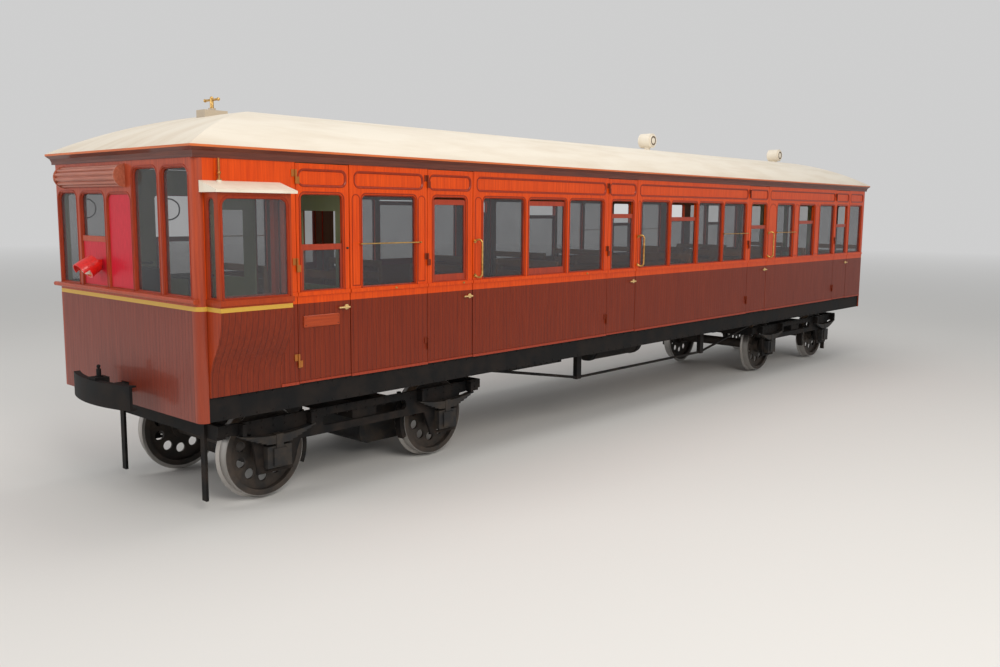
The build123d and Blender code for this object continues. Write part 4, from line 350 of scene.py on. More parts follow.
solebar_places = np.arange(-SOLEBAR_REACH, SOLEBAR_REACH + 0.01, SOLEBAR_PITCH)
rivet_rows(SOLEBAR_FACE, SOLEBAR_ROWS, solebar_places).piece("solebar_rivets", iron, "carriage", "black_iron")
for label, middle in (("front", BOGIE_CENTRE), ("rear", -BOGIE_CENTRE)):
    frame_places = np.linspace(middle - FRAME_REACH, middle + FRAME_REACH, FRAME_COUNT)
    rivets = rivet_rows(FRAME_FACE, FRAME_ROWS, frame_places)
    rivets.piece("bogie_rivets_" + label, iron, "bogie_" + label, "black_iron")

# Body sides: teak framing under many coats of varnish that glow orange above the waist, and upright
# matchboarding of a deeper red-brown below it. Inside they are panelled, and pale green in the cab. Brass
# hinges and handles belong to the same solids, so the finish finds them by height and how far out they are.
SIDE, WALL_LINING, BODY_FOOT, SILL, LIGHT_HEAD = 1.295, 0.0585, 1.136, 1.952, 2.804
STRIPE_FOOT, STRIPE_HEAD, STRIPE_EDGE, STRIPE_REAR = 1.848, 1.884, 0.002, 6.1
BOARD, GROOVE_DEPTH = 0.0545, 0.0026
CAB_WALL, DRIVER_DOOR_HINGE, HANDLE_ROSE = 5.24, 5.8, (1.752, 1.818)
HINGES, HINGE_FACE = ((1.28, 1.412), (2.118, 2.252), (2.878, 3.012)), 0.0058
FOOT_BEAD_HEIGHT, FOOT_BEAD_FACE, ROSE_FACE = 0.03, 0.004, 0.0004
UPRIGHT_GRAIN = dict(stretch=(60.0, 60.0, 2.2), scale=1.0, detail=6.0, rough=0.6)
ORANGE, AMBER, GLOW = (0.76, 0.078, 0.001), (0.52, 0.04, 0.001), (0.74, 0.095, 0.004)
LOWER, LOWER_DARK, LOWER_BOARD = (0.235, 0.028, 0.005), (0.135, 0.014, 0.003), (0.165, 0.018, 0.005)
GILT, JOINT, FOOT_BEAD = (0.6, 0.36, 0.055), (0.03, 0.007, 0.005), (0.42, 0.056, 0.024)
LINING, LINING_DARK, SAGE = (0.4, 0.17, 0.06), (0.24, 0.085, 0.03), (0.4, 0.45, 0.24)
POLISHED, BROWNED, VARNISHED_OVER = (0.85, 0.62, 0.27), (0.42, 0.15, 0.03), (0.2, 0.03, 0.01)


def boarding(finish, along):
    """Upright boards: a value that is 1 on a board and falls to 0 in a groove, and one for each board."""
    count = along / BOARD
    across = abs(count.part() - 0.5)
    groove = 1.0 - across.ramp(0.455, 0.497)
    board = finish.add("ShaderNodeTexWhiteNoise", {"noise_dimensions": "1D"}, {"W": count.whole()})
    return groove, board


def metalwork(finish):
    """Where a door's brass handle and its three hinges stand proud of the face: two masks of 0 or 1."""
    out = abs(finish.y)
    handle = (out > SIDE + ROSE_FACE) * (finish.z > HANDLE_ROSE[0]) * (finish.z < HANDLE_ROSE[1])
    hinge = 0.0
    for low, high in HINGES:
        hinge = hinge + (finish.z > low) * (finish.z < high)
    return handle, hinge * (out > SIDE + HINGE_FACE)


def varnish(name, lining_face, stripe_from=STRIPE_REAR, brassware=True, light=ORANGE, dark=AMBER, plain=None):
    """Teak over boards, but no boards where plain is 1; lined inside, with a gold line past stripe_from."""
    finish = Finish(name)
    groove, board = boarding(finish, finish.x)
    grain = finish.noise(**UPRIGHT_GRAIN)
    cloud = finish.noise(scale=1.1, detail=3.0)
    below = 1.0 - finish.z.ramp(STRIPE_FOOT - STRIPE_EDGE, STRIPE_FOOT)
    if plain is not None:
        below = below * (1.0 - plain(finish))
    groove = 1.0 - below * (1.0 - groove)
    upper = finish.mix(grain.ramp(0.3, 0.75), light, dark)
    upper = finish.mix(cloud.ramp(0.4, 0.8) * 0.4, upper, GLOW)
    lower = finish.mix(grain.ramp(0.3, 0.75), LOWER, LOWER_DARK)
    lower = finish.mix(board * 0.4, lower, LOWER_BOARD)
    coat = finish.mix(below, upper, lower)
    coat = finish.mix((1.0 - groove) * 0.8, coat, JOINT)
    in_stripe = (finish.z > STRIPE_FOOT) * (finish.z < STRIPE_HEAD) * (finish.x > stripe_from)
    coat = finish.mix(in_stripe, coat, GILT)
    lining = finish.mix(grain, LINING, LINING_DARK)
    lining = finish.mix(finish.x > CAB_WALL, lining, SAGE)
    coat = finish.mix(abs(finish.y) < lining_face, coat, lining)
    rough = 0.34 + grain * 0.12 + below * 0.04
    if brassware:
        handle, hinge = metalwork(finish)
        foot_bead = (abs(finish.y) > SIDE + FOOT_BEAD_FACE) * (finish.z < BODY_FOOT + FOOT_BEAD_HEIGHT)
        coat = finish.mix(foot_bead * 0.6, coat, FOOT_BEAD)
        hinge_coat = finish.mix(finish.x > DRIVER_DOOR_HINGE, VARNISHED_OVER, BROWNED)
        coat = finish.mix(hinge, finish.mix(handle, coat, POLISHED), hinge_coat)
        finish.set(Metallic=handle * 0.7 + hinge * 0.4)
    finish.set(Base_Color=coat, Roughness=rough,
               Coat_Weight=0.15, Coat_Roughness=0.08, Specular_IOR_Level=0.2)
    finish.relief(groove * 0.85 + grain * 0.15, GROOVE_DEPTH)
    return finish


wall_varnish = varnish("wall_varnish", SIDE - WALL_LINING)
wall_varnish.on("side_wall_left", "side_wall_right", "side_mouldings")

# Mouldings of the sides: a planted bead round each light, a quarter-round that holds its glass against the
# rebate, a bead on each pillar and one round each fascia. All are teak run through a moulding plane, mitred
# below and bent round the upper corners.
# The beads' teak is much darker than the walls': painted shade along the edges of the mouldings, over the
# real grain.
bead_varnish = Finish("bead_varnish")
grain = bead_varnish.noise((30.0, 30.0, 6.0), 1.0, 6.0, 0.6)
bead_varnish.set(Base_Color=bead_varnish.mix(grain.ramp(0.3, 0.75), (0.36, 0.03, 0.002), (0.2, 0.015, 0.002)),
                 Roughness=0.28 + grain * 0.14,
                 Coat_Weight=0.3, Coat_Roughness=0.08, Specular_IOR_Level=0.2)
bead_varnish.relief(grain, 0.0006)

# Each panel between two doorways: its front edge, the way from there to its first light, how many lights,
# their width, the pillar between them, and which of them, if any, drops. PANEL_ENDS has the rear edges.
PANELS = [
    (6.783, 0.036, 1, 0.622, 0.060, None),
    (5.315, 0.147, 1, 0.672, 0.060, None),
    (3.695, 0.155, 3, 0.668, 0.069, 1),
    (0.680, 0.104, 4, 0.665, 0.050, 1),
    (-2.950, 0.310, 3, 0.595, 0.210, 1),
    (-6.105, 0.045, 1, 0.550, 0.060, None),
]
PANEL_ENDS = [5.905, 4.350, 1.310, -2.320, -5.515, -6.783]
LIGHT_CORNER, FASCIA, FASCIA_INSET = 0.045, dict(foot=2.864, head=3.012, corner=0.055), 0.055
FIXED_GLASS, DROP_GLASS, BEAD_HEAD = 1.269, 1.277, 1.285
NARROWEST_PILLAR, STRIP_INSET, STRIP_FOOT = 0.09, 0.03, SILL + 0.024
SURROUND = [(0.005, -0.0005), (0.007, 0.0035), (0.012, 0.005), (0.017, 0.0035), (0.019, -0.0005)]
GLAZING = [(0.001, 0.0), (0.001, 0.016), (-0.004, 0.0163), (-0.01, 0.012), (-0.013, 0.006), (-0.013, 0.0)]
STRIP_BEAD = [(-0.005, -0.0005), (-0.0025, 0.0035), (0.0025, 0.0035), (0.005, -0.0005)]
FACE_BEAD = [(0.006, -0.0005), (0.004, 0.0035), (0.0, 0.0045), (-0.007, 0.0025), (-0.013, -0.0035),
             (-0.018, -0.0092), (0.001, -0.0092)]


def rounded_head(low, high, foot, head, corner, steps=7):
    """An outline of (along, height), anticlockwise: square below, quarter circles at the upper corners."""
    turn = np.linspace(0.0, np.pi / 2, steps)
    right = np.stack([high - corner + corner * np.cos(turn), head - corner + corner * np.sin(turn)], -1)
    left = np.stack([low + corner - corner * np.sin(turn), head - corner + corner * np.cos(turn)], -1)
    return np.concatenate([[[low, foot], [high, foot]], right, left])


def rounded_box(low, high, foot, head, corner, steps=6):
    """An outline of (along, height), anticlockwise, with a quarter circle at each corner."""
    turn = np.linspace(0.0, np.pi / 2, steps)
    rounds = []
    for x, z, start in ((high - corner, foot + corner, -0.5), (high - corner, head - corner, 0.0),
                        (low + corner, head - corner, 0.5), (low + corner, foot + corner, 1.0)):
        angle = turn + start * np.pi
        rounds.append(np.stack([x + corner * np.cos(angle), z + corner * np.sin(angle)], -1))
    return np.concatenate(rounds)


def mitres(path):
    """At each corner of a closed outline, the outward step that keeps a parallel outline one unit away."""
    edge = np.roll(path, -1, 0) - path
    edge = edge / np.linalg.norm(edge, axis=1, keepdims=True)
    after = np.stack([edge[:, 1], -edge[:, 0]], -1)
    before = np.roll(after, 1, 0)
    return (before + after) / (1.0 + (before * after).sum(1, keepdims=True))


def moulding(path, section, face):
    """A section of (outwards in the wall, out of it) rows carried round an outline: (along, height, out)."""
    section = np.array(section)
    flat = path[:, None, :] + section[None, :, :1] * mitres(path)[:, None, :]
    out = np.broadcast_to(face + section[None, :, 1:], flat.shape[:2] + (1,))
    return np.concatenate([flat, out], -1)


def on_side(points, sign=1.0):
    """Puts (along, height, out) on a side of the body: sign is 1 on the left and -1 on the right."""
    return np.stack([points[..., 0], sign * points[..., 2], points[..., 1]], -1)


def on_end(points, sign):
    """Puts (along, height, out) on an end face: sign is 1 on the driving end and -1 on the other."""
    return np.stack([sign * points[..., 2], points[..., 0], points[..., 1]], -1)


CLOSED = dict(wrap_rows=True, wrap_columns=True)
SIGNS = {"left": 1.0, "right": -1.0}
for label, sign in SIGNS.items():
    surrounds, glazing, fascias, strips = Shape(), Shape(), Shape(), Shape()
    for number, (front, lead, lights, width, pillar, drop) in enumerate(PANELS):
        rear = PANEL_ENDS[number]
        if number > 0:
            path = rounded_box(rear + FASCIA_INSET, front - FASCIA_INSET, **FASCIA)
            fascias.grid(on_side(moulding(path, FACE_BEAD, SIDE), sign), **CLOSED)
        elif label == "left":
            continue
        starts = [front - lead - light * (width + pillar) for light in range(lights)]
        for light, high in enumerate(starts):
            path = rounded_head(high - width, high, SILL, LIGHT_HEAD, LIGHT_CORNER)
            surrounds.grid(on_side(moulding(path, SURROUND, SIDE), sign), **CLOSED)
            glass_face = DROP_GLASS if light == drop else FIXED_GLASS
            depth = (BEAD_HEAD - glass_face) / (BEAD_HEAD - FIXED_GLASS)
            section = np.multiply(GLAZING, (1.0, depth))
            glazing.grid(on_side(moulding(path, section, glass_face), sign), **CLOSED)
        for high, low in zip([front] + [start - width for start in starts], starts + [rear]):
            if high - low > NARROWEST_PILLAR and number > 0:
                corner = 0.96 * ((high - low) / 2 - STRIP_INSET)
                path = rounded_head(low + STRIP_INSET, high - STRIP_INSET, STRIP_FOOT, LIGHT_HEAD, corner)
                strips.grid(on_side(moulding(path, STRIP_BEAD, SIDE), sign), **CLOSED)
    surrounds.piece("light_surrounds_" + label, bead_varnish, "carriage", "varnished_timber")
    glazing.piece("glazing_beads_" + label, bead_varnish, "carriage", "varnished_timber")
    fascias.piece("fascia_beads_" + label, bead_varnish, "carriage", "varnished_timber")
    strips.piece("pillar_beads_" + label, bead_varnish, "carriage", "varnished_timber")

# Doors: the same framing and boards on a leaf of its own, hung on three knuckles, with a cast brass lever
# handle on a round rose beside the closing edge. The mouldings round the light and the fascia ride on the
# leaf. Each row has the front edge, the leaf's width, the way to its light, and the light's width.
DOORS = [(5.905, 0.590, 0.052, 0.462), (4.350, 0.655, 0.082, 0.474), (1.310, 0.630, 0.080, 0.474),
         (-2.320, 0.630, 0.084, 0.490), (-5.515, 0.590, 0.052, 0.465)]
DOOR_LINING, SASH_FACE, FASCIA_REAR_INSET, FASCIA_FRONT_INSET = 0.0435, 1.284, 0.0375, 0.0335
LEAVES = ["%s_%d" % (label, number) for label in SIGNS for number in range(1, len(DOORS) + 1)]
SASH_BEAD = [(0.001, 0.0), (0.001, 0.0085), (-0.005, 0.009), (-0.01, 0.0055), (-0.012, 0.0)]
door_varnish = varnish("door_varnish", SIDE - DOOR_LINING)
door_varnish.on(*("door_" + leaf for leaf in LEAVES))
for label, sign in SIGNS.items():
    for number, (front, width, lead, light) in enumerate(DOORS, 1):
        dressing = Shape()
        path = rounded_head(front - lead - light, front - lead, SILL, LIGHT_HEAD, LIGHT_CORNER)
        dressing.grid(on_side(moulding(path, SURROUND, SIDE), sign), **CLOSED)
        dressing.grid(on_side(moulding(path, SASH_BEAD, SASH_FACE), sign), **CLOSED)
        path = rounded_box(front - width + FASCIA_REAR_INSET, front - FASCIA_FRONT_INSET, **FASCIA)
        dressing.grid(on_side(moulding(path, FACE_BEAD, SIDE), sign), **CLOSED)
        leaf = "%s_%d" % (label, number)
        dressing.piece("door_mouldings_" + leaf, bead_varnish, "door_" + leaf, "varnished_timber")

# Plate on the driver's door: a plain tablet of lighter varnished wood with rounded corners and chamfered
# edges, held to the boards by an iron screw in each corner.
PLATE, PLATE_FACE, PLATE_CORNER, SCREW_INSET = (5.452, 5.846, 1.632, 1.738), 0.0125, 0.012, 0.02
PLATE_EDGE = [(0.0, -0.001), (0.0, 0.008), (-0.005, PLATE_FACE), (-0.009, PLATE_FACE)]
SCREW, SCREW_SIDES = [(0.0045, -0.001), (0.0045, 0.0008), (0.003, 0.0017), (0.001, 0.002)], 10
tablet_wood = Finish("tablet_wood")
grain = tablet_wood.noise((3.0, 3.0, 60.0), 1.0, 6.0)
tablet_wood.set(Base_Color=tablet_wood.mix(grain.ramp(0.35, 0.7), (0.42, 0.056, 0.008), (0.3, 0.036, 0.006)),
                Roughness=0.3 + grain * 0.15, Coat_Weight=0.25, Coat_Roughness=0.08, Specular_IOR_Level=0.25)
tablet_wood.relief(grain, 0.0005)
edges = on_side(moulding(rounded_box(*PLATE, PLATE_CORNER), PLATE_EDGE, SIDE)).transpose(1, 0, 2)
tablet = Shape().grid(edges, **CAPPED)
tablet.piece("door_tablet", tablet_wood, "door_left_1", "varnished_timber")
screws = Shape()
for x in (PLATE[0] + SCREW_INSET, PLATE[1] - SCREW_INSET):
    for z in (PLATE[2] + SCREW_INSET, PLATE[3] - SCREW_INSET):
        screws.grid(turned(SCREW, (x, SIDE + PLATE_FACE, z), (0.0, 1.0, 0.0), SCREW_SIDES), **CAPPED)
screws.piece("door_tablet_screws", casting, "door_left_1", "black_iron")

# Brass: cast and turned fittings, polished by hands and browned in the corners. Small turned knobs for the
# window straps stand on the waist rail, and a dark one on the closing pillar of the driver's door.
brass = Finish("worn_brass")
tarnish = brass.noise(scale=30.0, detail=5.0)
brass.set(Base_Color=brass.mix(tarnish.ramp(0.42, 0.75), (0.72, 0.44, 0.13), (0.3, 0.15, 0.045)),
          Metallic=1.0, Roughness=0.26 + tarnish * 0.2)
brass.on("grab_rails")
KNOB = [(0.009, -0.001), (0.009, 0.002), (0.0045, 0.004), (0.0045, 0.007), (0.0085, 0.0095), (0.0095, 0.013),
        (0.0075, 0.0165), (0.003, 0.018)]
RAIL_FACE, RAIL_MIDDLE = 1.309, 1.931
KNOBS = [
    ("strap_knob_panel_1", (4.775, RAIL_FACE, RAIL_MIDDLE), brass, "carriage", "brass"),
    ("strap_knob_door_2", (3.852, RAIL_FACE, RAIL_MIDDLE), brass, "door_left_2", "brass"),
    ("strap_knob_panel_2", (1.742, RAIL_FACE, RAIL_MIDDLE), brass, "carriage", "brass"),
    ("driver_door_knob", (5.350, SIDE, 2.322), casting, "door_left_1", "cast_iron"),
]
for name, foot, finish, body, slot in KNOBS:
    knob = Shape().grid(turned(KNOB, foot, (0.0, 1.0, 0.0)), **CAPPED)
    knob.piece(name, finish, body, slot)

# Lookout: a boxed bay of the same teak, its foot swept in an S back to the body side. Its teak is coloured
# darker than the sides' as painted shade. The long face is boarded upright and the two ends are plain, with
# one broad light and two slits, each with its own beads.
BAY_REAR, BAY_FRONT, BAY_FACE, BAY_LINING, BAY_LIGHT_HEAD = 6.095, 6.777, 1.5, 1.24, 2.757
BAY_MIDDLE, BAY_HALF, BAY_POST = (BAY_REAR + BAY_FRONT) / 2, (BAY_FRONT - BAY_REAR) / 2, 0.034
BAY_GLASS_INSET, BAY_CORNER, SLIT, SLIT_CORNER = 0.012, 0.07, (1.338, 1.443), 0.0505
# SHADED and SHADED_DARK are the sides' orange teak darkened: painted shade for the whole lookout.
SHADED, SHADED_DARK, FACE_DEPTH = (0.36, 0.042, 0.008), (0.21, 0.022, 0.006), 0.0006


def bay_ends(finish):
    """1 on the two plain ends of the bay, which look forwards and backwards, and 0 on its long face."""
    return abs(finish.x - BAY_MIDDLE) > BAY_HALF - FACE_DEPTH


bay_varnish = varnish("bay_varnish", BAY_LINING, stripe_from=0.0, brassware=False,
                      light=SHADED, dark=SHADED_DARK, plain=bay_ends)
bay_varnish.on("lookout_bay")
bay_beads = Shape()
path = rounded_head(BAY_REAR + BAY_POST, BAY_FRONT - BAY_POST, SILL, BAY_LIGHT_HEAD, BAY_CORNER)
bay_beads.grid(on_side(moulding(path, SURROUND, BAY_FACE)), **CLOSED)
section = np.multiply(GLAZING, (0.8, 0.6))
bay_beads.grid(on_side(moulding(path, section, BAY_FACE - BAY_GLASS_INSET)), **CLOSED)
path = rounded_head(*SLIT, SILL, BAY_LIGHT_HEAD, SLIT_CORNER)
section = np.multiply(GLAZING, (0.7, 0.6))
for sign, face in ((1.0, BAY_FRONT), (-1.0, -BAY_REAR)):
    bay_beads.grid(on_end(moulding(path, section, face - BAY_GLASS_INSET), sign), **CLOSED)
bay_beads.piece("lookout_beads", bead_varnish, "carriage", "varnished_timber")

# Ends: browner mahogany framing with rounded corner posts, boarded upright between them below the gold
# line. The posts go darker below it too. Inside, the ends are painted pale green as the cab is.
FRONT, END_POST, END_JOINT = 6.858, 1.2, (0.03, 0.01, 0.007)
end_varnish = Finish("end_varnish")
groove, board = boarding(end_varnish, end_varnish.y)
grain = end_varnish.noise(**UPRIGHT_GRAIN)
low = 1.0 - end_varnish.z.ramp(STRIPE_FOOT - STRIPE_EDGE, STRIPE_FOOT)
below = low * (abs(end_varnish.y) < END_POST)
groove = 1.0 - below * (1.0 - groove)
mahogany = end_varnish.mix(grain.ramp(0.3, 0.75), (0.47, 0.068, 0.02), (0.29, 0.036, 0.012))
boards = end_varnish.mix(grain.ramp(0.3, 0.75), (0.235, 0.042, 0.022), (0.145, 0.024, 0.013))
boards = end_varnish.mix(board * 0.4, boards, (0.175, 0.03, 0.016))
framing = end_varnish.mix(low * 0.6, mahogany, (0.2, 0.032, 0.014))
coat = end_varnish.mix((1.0 - groove) * 0.75, end_varnish.mix(below, framing, boards), END_JOINT)
in_stripe = (end_varnish.z > STRIPE_FOOT) * (end_varnish.z < STRIPE_HEAD)
coat = end_varnish.mix(in_stripe, coat, GILT)
inside = (abs(end_varnish.x) < FRONT - WALL_LINING) * (abs(end_varnish.y) < SIDE - WALL_LINING)
end_varnish.set(Base_Color=end_varnish.mix(inside, coat, SAGE), Roughness=0.34 + grain * 0.13,
                Coat_Weight=0.25, Coat_Roughness=0.09, Specular_IOR_Level=0.28)
end_varnish.relief(groove * 0.85 + grain * 0.15, GROOVE_DEPTH)
end_varnish.on("front_end", "rear_end", "front_sill")

# Hood: a half-round casing of turned reeds between two round cheeks, fixed over the right-hand lights of the
# driving end. It is varnished like the rest, in a paler, pinker tone than the end's mahogany: a painted
# reflection of pale light on the reeds.
reeds = Finish("hood_reeds")
grain = reeds.noise((60.0, 3.0, 60.0), 1.0, 6.0, 0.6)
reeds.set(Base_Color=reeds.mix(grain.ramp(0.3, 0.75), (0.48, 0.14, 0.075), (0.3, 0.07, 0.035)),
          Roughness=0.3 + grain * 0.14, Coat_Weight=0.4, Coat_Roughness=0.08)
reeds.relief(grain, 0.0008)
reeds.on("reeded_hood")

# Mouldings of the end lights: the same planted beads and quarter-rounds as on the sides, with rounder corners
# on the driving end. Each row has a light's middle, its width, and the height of its head.
END_GLASS_INSET, FRONT_CORNER = 0.026, 0.075
FRONT_LIGHTS = [(-1.012, 0.386, 2.810), (-0.495, 0.478, 2.804), (0.020, 0.432, 2.790), (0.494, 0.426, 3.008),
                (0.985, 0.423, 3.002)]
REAR_LIGHTS = [(-0.992, 0.420, 2.804), (-0.496, 0.440, 2.804), (0.0, 0.420, 2.804), (0.496, 0.440, 2.804),
               (0.992, 0.420, 2.804)]
for label, sign, lights, corner in (("front", 1.0, FRONT_LIGHTS, FRONT_CORNER),
                                    ("rear", -1.0, REAR_LIGHTS, LIGHT_CORNER)):
    beads = Shape()
    for middle, width, light_head in lights:
        path = rounded_head(middle - width / 2, middle + width / 2, SILL, light_head, corner)
        beads.grid(on_end(moulding(path, SURROUND, FRONT), sign), **CLOSED)
        beads.grid(on_end(moulding(path, GLAZING, FRONT - END_GLASS_INSET), sign), **CLOSED)
    beads.piece("light_beads_" + label, bead_varnish, "carriage", "end_timber")

# Cornice: a dark walnut-brown cove run round the head of the walls and mitred at the corners, under a bright
# orange fascia that carries the edge of the roof.
COVE_HEAD = 3.149
walnut = Finish("walnut_moulding")
grain = walnut.noise((2.0, 2.0, 40.0), 1.5, 7.0, 0.6)
dark = walnut.mix(grain.ramp(0.3, 0.7), (0.15, 0.03, 0.012), (0.08, 0.016, 0.008))
bright = walnut.mix(grain.ramp(0.3, 0.7), (0.72, 0.17, 0.035), (0.5, 0.1, 0.02))
walnut.set(Base_Color=walnut.mix(walnut.z > COVE_HEAD, dark, bright), Roughness=0.36 + grain * 0.15,
           Coat_Weight=0.3, Coat_Roughness=0.1, Specular_IOR_Level=0.35)
walnut.relief(grain, 0.001)
walnut.on("cornice")

# Partition between cab and saloon: framed teak, varnished on the saloon's side and painted pale green on the
# cab's. Its middle plane parts the two finishes.
PARTITION_MIDDLE = 5.258
wainscot = Finish("partition_timber")
grain = wainscot.noise(**UPRIGHT_GRAIN)
teak = wainscot.mix(grain.ramp(0.3, 0.75), (0.36, 0.1, 0.03), (0.2, 0.05, 0.018))
sage = wainscot.mix(grain, (0.42, 0.47, 0.24), (0.36, 0.41, 0.21))
wainscot.set(Base_Color=wainscot.mix(wainscot.x > PARTITION_MIDDLE, teak, sage),
             Roughness=0.34 + grain * 0.15, Coat_Weight=0.25, Specular_IOR_Level=0.3)
wainscot.relief(grain, 0.0008)
wainscot.on("cab_partition")

# Roof: boards covered with canvas and many coats of cream-white lead paint, with soot settled in streaks and
# thicker along the foot of the roof. The ventilators' drums are painted with it.
ROOF_FOOT, SOOT_HEAD = 3.17, 3.3
roof_paint = Finish("roof_canvas")
weave = roof_paint.noise(scale=160.0, detail=2.0)
soot = roof_paint.noise((0.5, 2.0, 1.0), 2.2, 6.0)
streak = soot.ramp(0.42, 0.8) * 0.5 + (1.0 - roof_paint.z.ramp(ROOF_FOOT, SOOT_HEAD)) * 0.25
roof_paint.set(Base_Color=roof_paint.mix(streak, (0.83, 0.765, 0.655), (0.6, 0.49, 0.36)),
               Roughness=0.42 + soot * 0.2, Specular_IOR_Level=0.35)
roof_paint.relief(weave * 0.5 + soot, 0.0012)
roof_paint.on("roof", "roof_ventilators")

# Ventilator ends: each drum is closed by a pressed disc with a rolled rim, a ring of slots drawn as a flat
# dark ring, which is painted shade in the slots with a sooty brown mottle, and a boss. VENTS has the places
# along and the heights of the drums.
VENTS, VENT_FACE, VENT_SIDES = [(-1.46, 3.731), (-5.7, 3.7127)], 0.109, 32
RIM = [(0.0835, -0.001), (0.0835, 0.004), (0.078, 0.0065), (0.0705, 0.004), (0.0705, -0.001)]
BOSS = [(0.045, -0.001), (0.0445, 0.003), (0.036, 0.006), (0.018, 0.0075), (0.003, 0.008)]
SLOTS = [(0.0712, -0.0005), (0.0712, 0.0006), (0.0445, 0.0006), (0.0445, -0.0005)]
slot_shade = Finish("ventilator_slot_shade")
shade_mottle = slot_shade.noise(scale=30.0, detail=4.0)
slot_shade.set(Base_Color=slot_shade.mix(shade_mottle, (0.22, 0.17, 0.12), (0.1, 0.075, 0.055)),
          Roughness=0.7 + shade_mottle * 0.2)
slot_shade.relief(shade_mottle, 0.0006)
discs, slots = Shape(), Shape()
for x, z in VENTS:
    for sign in (1.0, -1.0):
        foot, out = (x, sign * VENT_FACE, z), (0.0, sign, 0.0)
        discs.grid(turned(RIM, foot, out, VENT_SIDES), **CLOSED)
        discs.grid(turned(BOSS, foot, out, VENT_SIDES), **CAPPED)
        slots.grid(turned(SLOTS, foot, out, VENT_SIDES), **CLOSED)
discs.piece("ventilator_discs", roof_paint, "carriage", "roof_canvas")
slots.piece("ventilator_slots", slot_shade, "carriage", "roof_canvas")

# Lookout roof: one sloping board in the same cream paint, hung from the cornice by a turned brass stay. What
# stands above the board is the stay, so its height parts paint from brass.
BOARD_HEAD = 2.893
stayed = Finish("lookout_roof_paint")
soot = stayed.noise(scale=6.0, detail=6.0)
stay = stayed.z > BOARD_HEAD
cream = stayed.mix(soot.ramp(0.4, 0.8) * 0.5, (0.83, 0.765, 0.64), (0.62, 0.49, 0.34))
stayed.set(Base_Color=stayed.mix(stay, cream, (0.5, 0.2, 0.06)),
           Metallic=stay, Roughness=0.42 + soot * 0.2 - stay * 0.15)
stayed.relief(soot, 0.001)
stayed.on("bay_roof")

# Whistle: a brass stem with a cross bar and turned knobs, screwed into a block on the roof that is painted a
# dirty cream. The finish changes from paint to brass at the block's head.
BLOCK_HEAD = 3.6
whistle_metal = Finish("whistle_metal")
tarnish = whistle_metal.noise(scale=30.0, detail=5.0)
base = 1.0 - whistle_metal.z.ramp(BLOCK_HEAD - 0.005, BLOCK_HEAD)
gilded = whistle_metal.mix(tarnish.ramp(0.42, 0.75), (0.7, 0.45, 0.16), (0.33, 0.18, 0.06))
whistle_metal.set(Base_Color=whistle_metal.mix(base, gilded, (0.5, 0.42, 0.32)), Metallic=1.0 - base,
                  Roughness=0.3 + tarnish * 0.2)
whistle_metal.on("whistle")

# Benches: slatted seats and backs of varnished pitch pine, screwed to shaped ends that stand on the floor.
# The pine has kept its yellow under the shade of the roof.
pine = Finish("varnished_pine")
grain = pine.noise((1.5, 9.0, 9.0), 4.0, 7.0, 0.6)
pine.set(Base_Color=pine.mix(grain.ramp(0.3, 0.7), (0.5, 0.24, 0.08), (0.28, 0.11, 0.035)),
         Roughness=0.35 + grain * 0.15, Coat_Weight=0.3)
pine.relief(grain, 0.001)
pine.on("benches")

# Floor: bare softwood planks laid along the carriage, worn grey-brown by feet, with dark seams between them.
# The seams are relief and colour only.
PLANK = 0.11
planks = Finish("floor_planks")
count = planks.y / PLANK
seam = abs(count.part() - 0.5).ramp(0.46, 0.498)
wear = planks.noise((1.2, 8.0, 1.0), 3.0, 6.0)
worn = planks.mix(wear, (0.3, 0.2, 0.13), (0.17, 0.1, 0.06))
planks.set(Base_Color=planks.mix(seam, worn, (0.03, 0.02, 0.015)), Roughness=0.6 + wear * 0.2)
planks.relief(1.0 - seam, 0.002)
planks.on("floor")

# Red panels: plain boards brushed in glossy crimson, held in the third light of the driving end and in the
# foot of the second.
crimson = Finish("crimson_paint")
brush = crimson.noise((8.0, 8.0, 0.8), 12.0, 5.0)
crimson.set(Base_Color=crimson.mix(brush.ramp(0.3, 0.7), (0.62, 0.008, 0.03), (0.48, 0.006, 0.022)),
            Roughness=0.3 + brush * 0.15, Coat_Weight=0.15, Coat_Roughness=0.06, Specular_IOR_Level=0.25)
crimson.relief(brush, 0.0006)
crimson.on("red_panels")

# Lamp: a tapered sheet-iron lantern in chipped signal red, tilted down, with a small white lens in an amber
# rim at its mouth. LAMP_FOOT is where its axis starts, and LAMP_AHEAD the way that it looks.
LAMP_TILT, LAMP_SIDES = np.radians(32.0), 40
LAMP_FOOT, LAMP_AHEAD = (6.892, -0.4, 2.17), (np.cos(LAMP_TILT), 0.0, -np.sin(LAMP_TILT))
LENS_RIM = [(0.0755, 0.0975), (0.0755, 0.104), (0.066, 0.107), (0.058, 0.104), (0.058, 0.0975)]
LENS = [(0.0582, 0.0975), (0.057, 0.108), (0.049, 0.1225), (0.036, 0.1335), (0.018, 0.1405), (0.003, 0.142)]
signal_red = Finish("signal_red")
chips = signal_red.noise(scale=40.0, detail=5.0)
signal_red.set(Base_Color=signal_red.mix(chips.ramp(0.45, 0.8), (0.72, 0.012, 0.008), (0.45, 0.008, 0.008)),
               Roughness=0.26 + chips * 0.2, Coat_Weight=0.3)
signal_red.relief(chips, 0.0006)
signal_red.on("red_lamp")
lens_glass = Finish("lamp_lens")
swirl = lens_glass.noise(scale=60.0, detail=3.0)
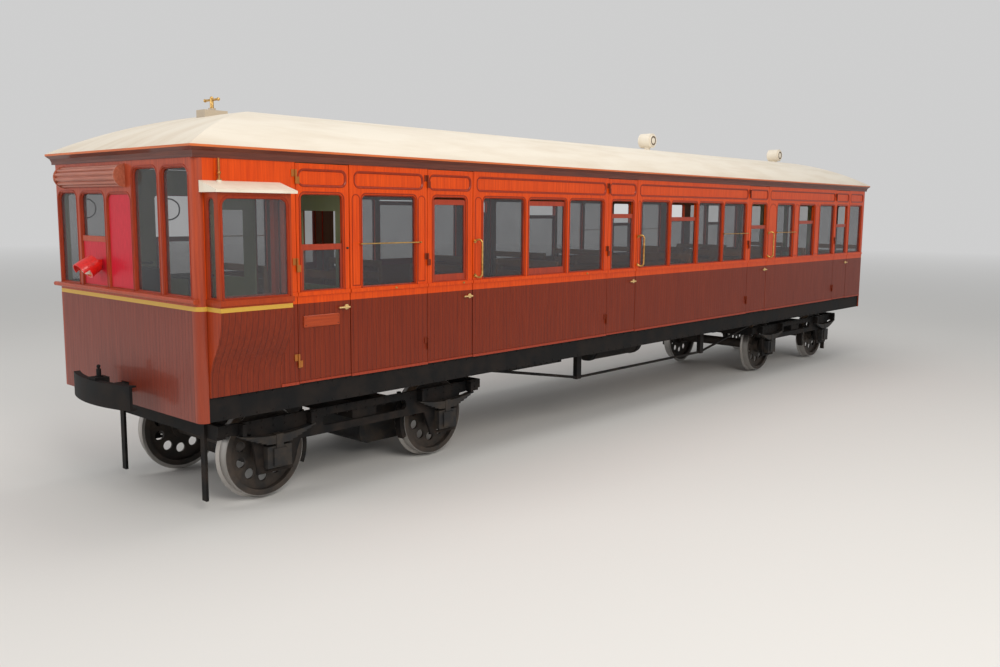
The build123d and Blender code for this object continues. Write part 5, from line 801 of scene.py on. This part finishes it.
lens_glass.set(Base_Color=lens_glass.mix(swirl, (0.9, 0.86, 0.78), (0.8, 0.7, 0.54)),
               Roughness=0.08 + swirl * 0.08)
lens_glass.relief(swirl, 0.0004)
lens_rim = Finish("lamp_rim")
scratch = lens_rim.noise(scale=90.0, detail=3.0)
lens_rim.set(Base_Color=lens_rim.mix(scratch, (0.8, 0.3, 0.04), (0.6, 0.18, 0.03)),
             Roughness=0.25 + scratch * 0.2)
lens_rim.relief(scratch, 0.0004)
rim = Shape().grid(turned(LENS_RIM, LAMP_FOOT, LAMP_AHEAD, LAMP_SIDES), **CLOSED)
rim.piece("lamp_lens_rim", lens_rim, "carriage", "brass")
lens_dome = Shape().grid(turned(LENS, LAMP_FOOT, LAMP_AHEAD, LAMP_SIDES), **CAPPED)
lens_dome.piece("lamp_lens", lens_glass, "carriage", "window_glass")

# Glass: thin plates darkened by the room behind them, fixed in their frames with beads. The drop lights and
# door lights are wooden sashes: what stands clear of the plate's own depth is their varnished frame.
GLASS, SMEARED, HALF_PLATE = (0.07, 0.076, 0.086), (0.11, 0.114, 0.12), 0.0043
SIDE_PLATE, DOOR_PLATE = 1.2655, 1.2725


def glazed(name, plate=None):
    """Glass, and varnished timber where the solid is more than HALF_PLATE from plate, the glass's middle."""
    finish = Finish(name)
    smear = finish.noise(scale=3.0, detail=4.0)
    rough, alpha = 0.03 + smear * 0.05, 0.3 + smear * 0.12
    if plate is None:
        return finish.set(Base_Color=finish.mix(smear, GLASS, SMEARED), Roughness=rough, Alpha=alpha)
    grain = finish.noise(**UPRIGHT_GRAIN)
    timber = abs(abs(finish.y) - plate) > HALF_PLATE
    wood = finish.mix(grain.ramp(0.3, 0.75), (0.42, 0.042, 0.006), (0.24, 0.02, 0.004))
    return finish.set(Base_Color=finish.mix(timber, GLASS, wood), Roughness=rough + timber * 0.3,
                      Alpha=alpha + timber * (1.0 - alpha))


glazed("end_glass").on("end_windows")
glazed("side_glass", SIDE_PLATE).on("windows_left", "windows_right")
glazed("door_glass", DOOR_PLATE).on(*("door_window_" + leaf for leaf in LEAVES))
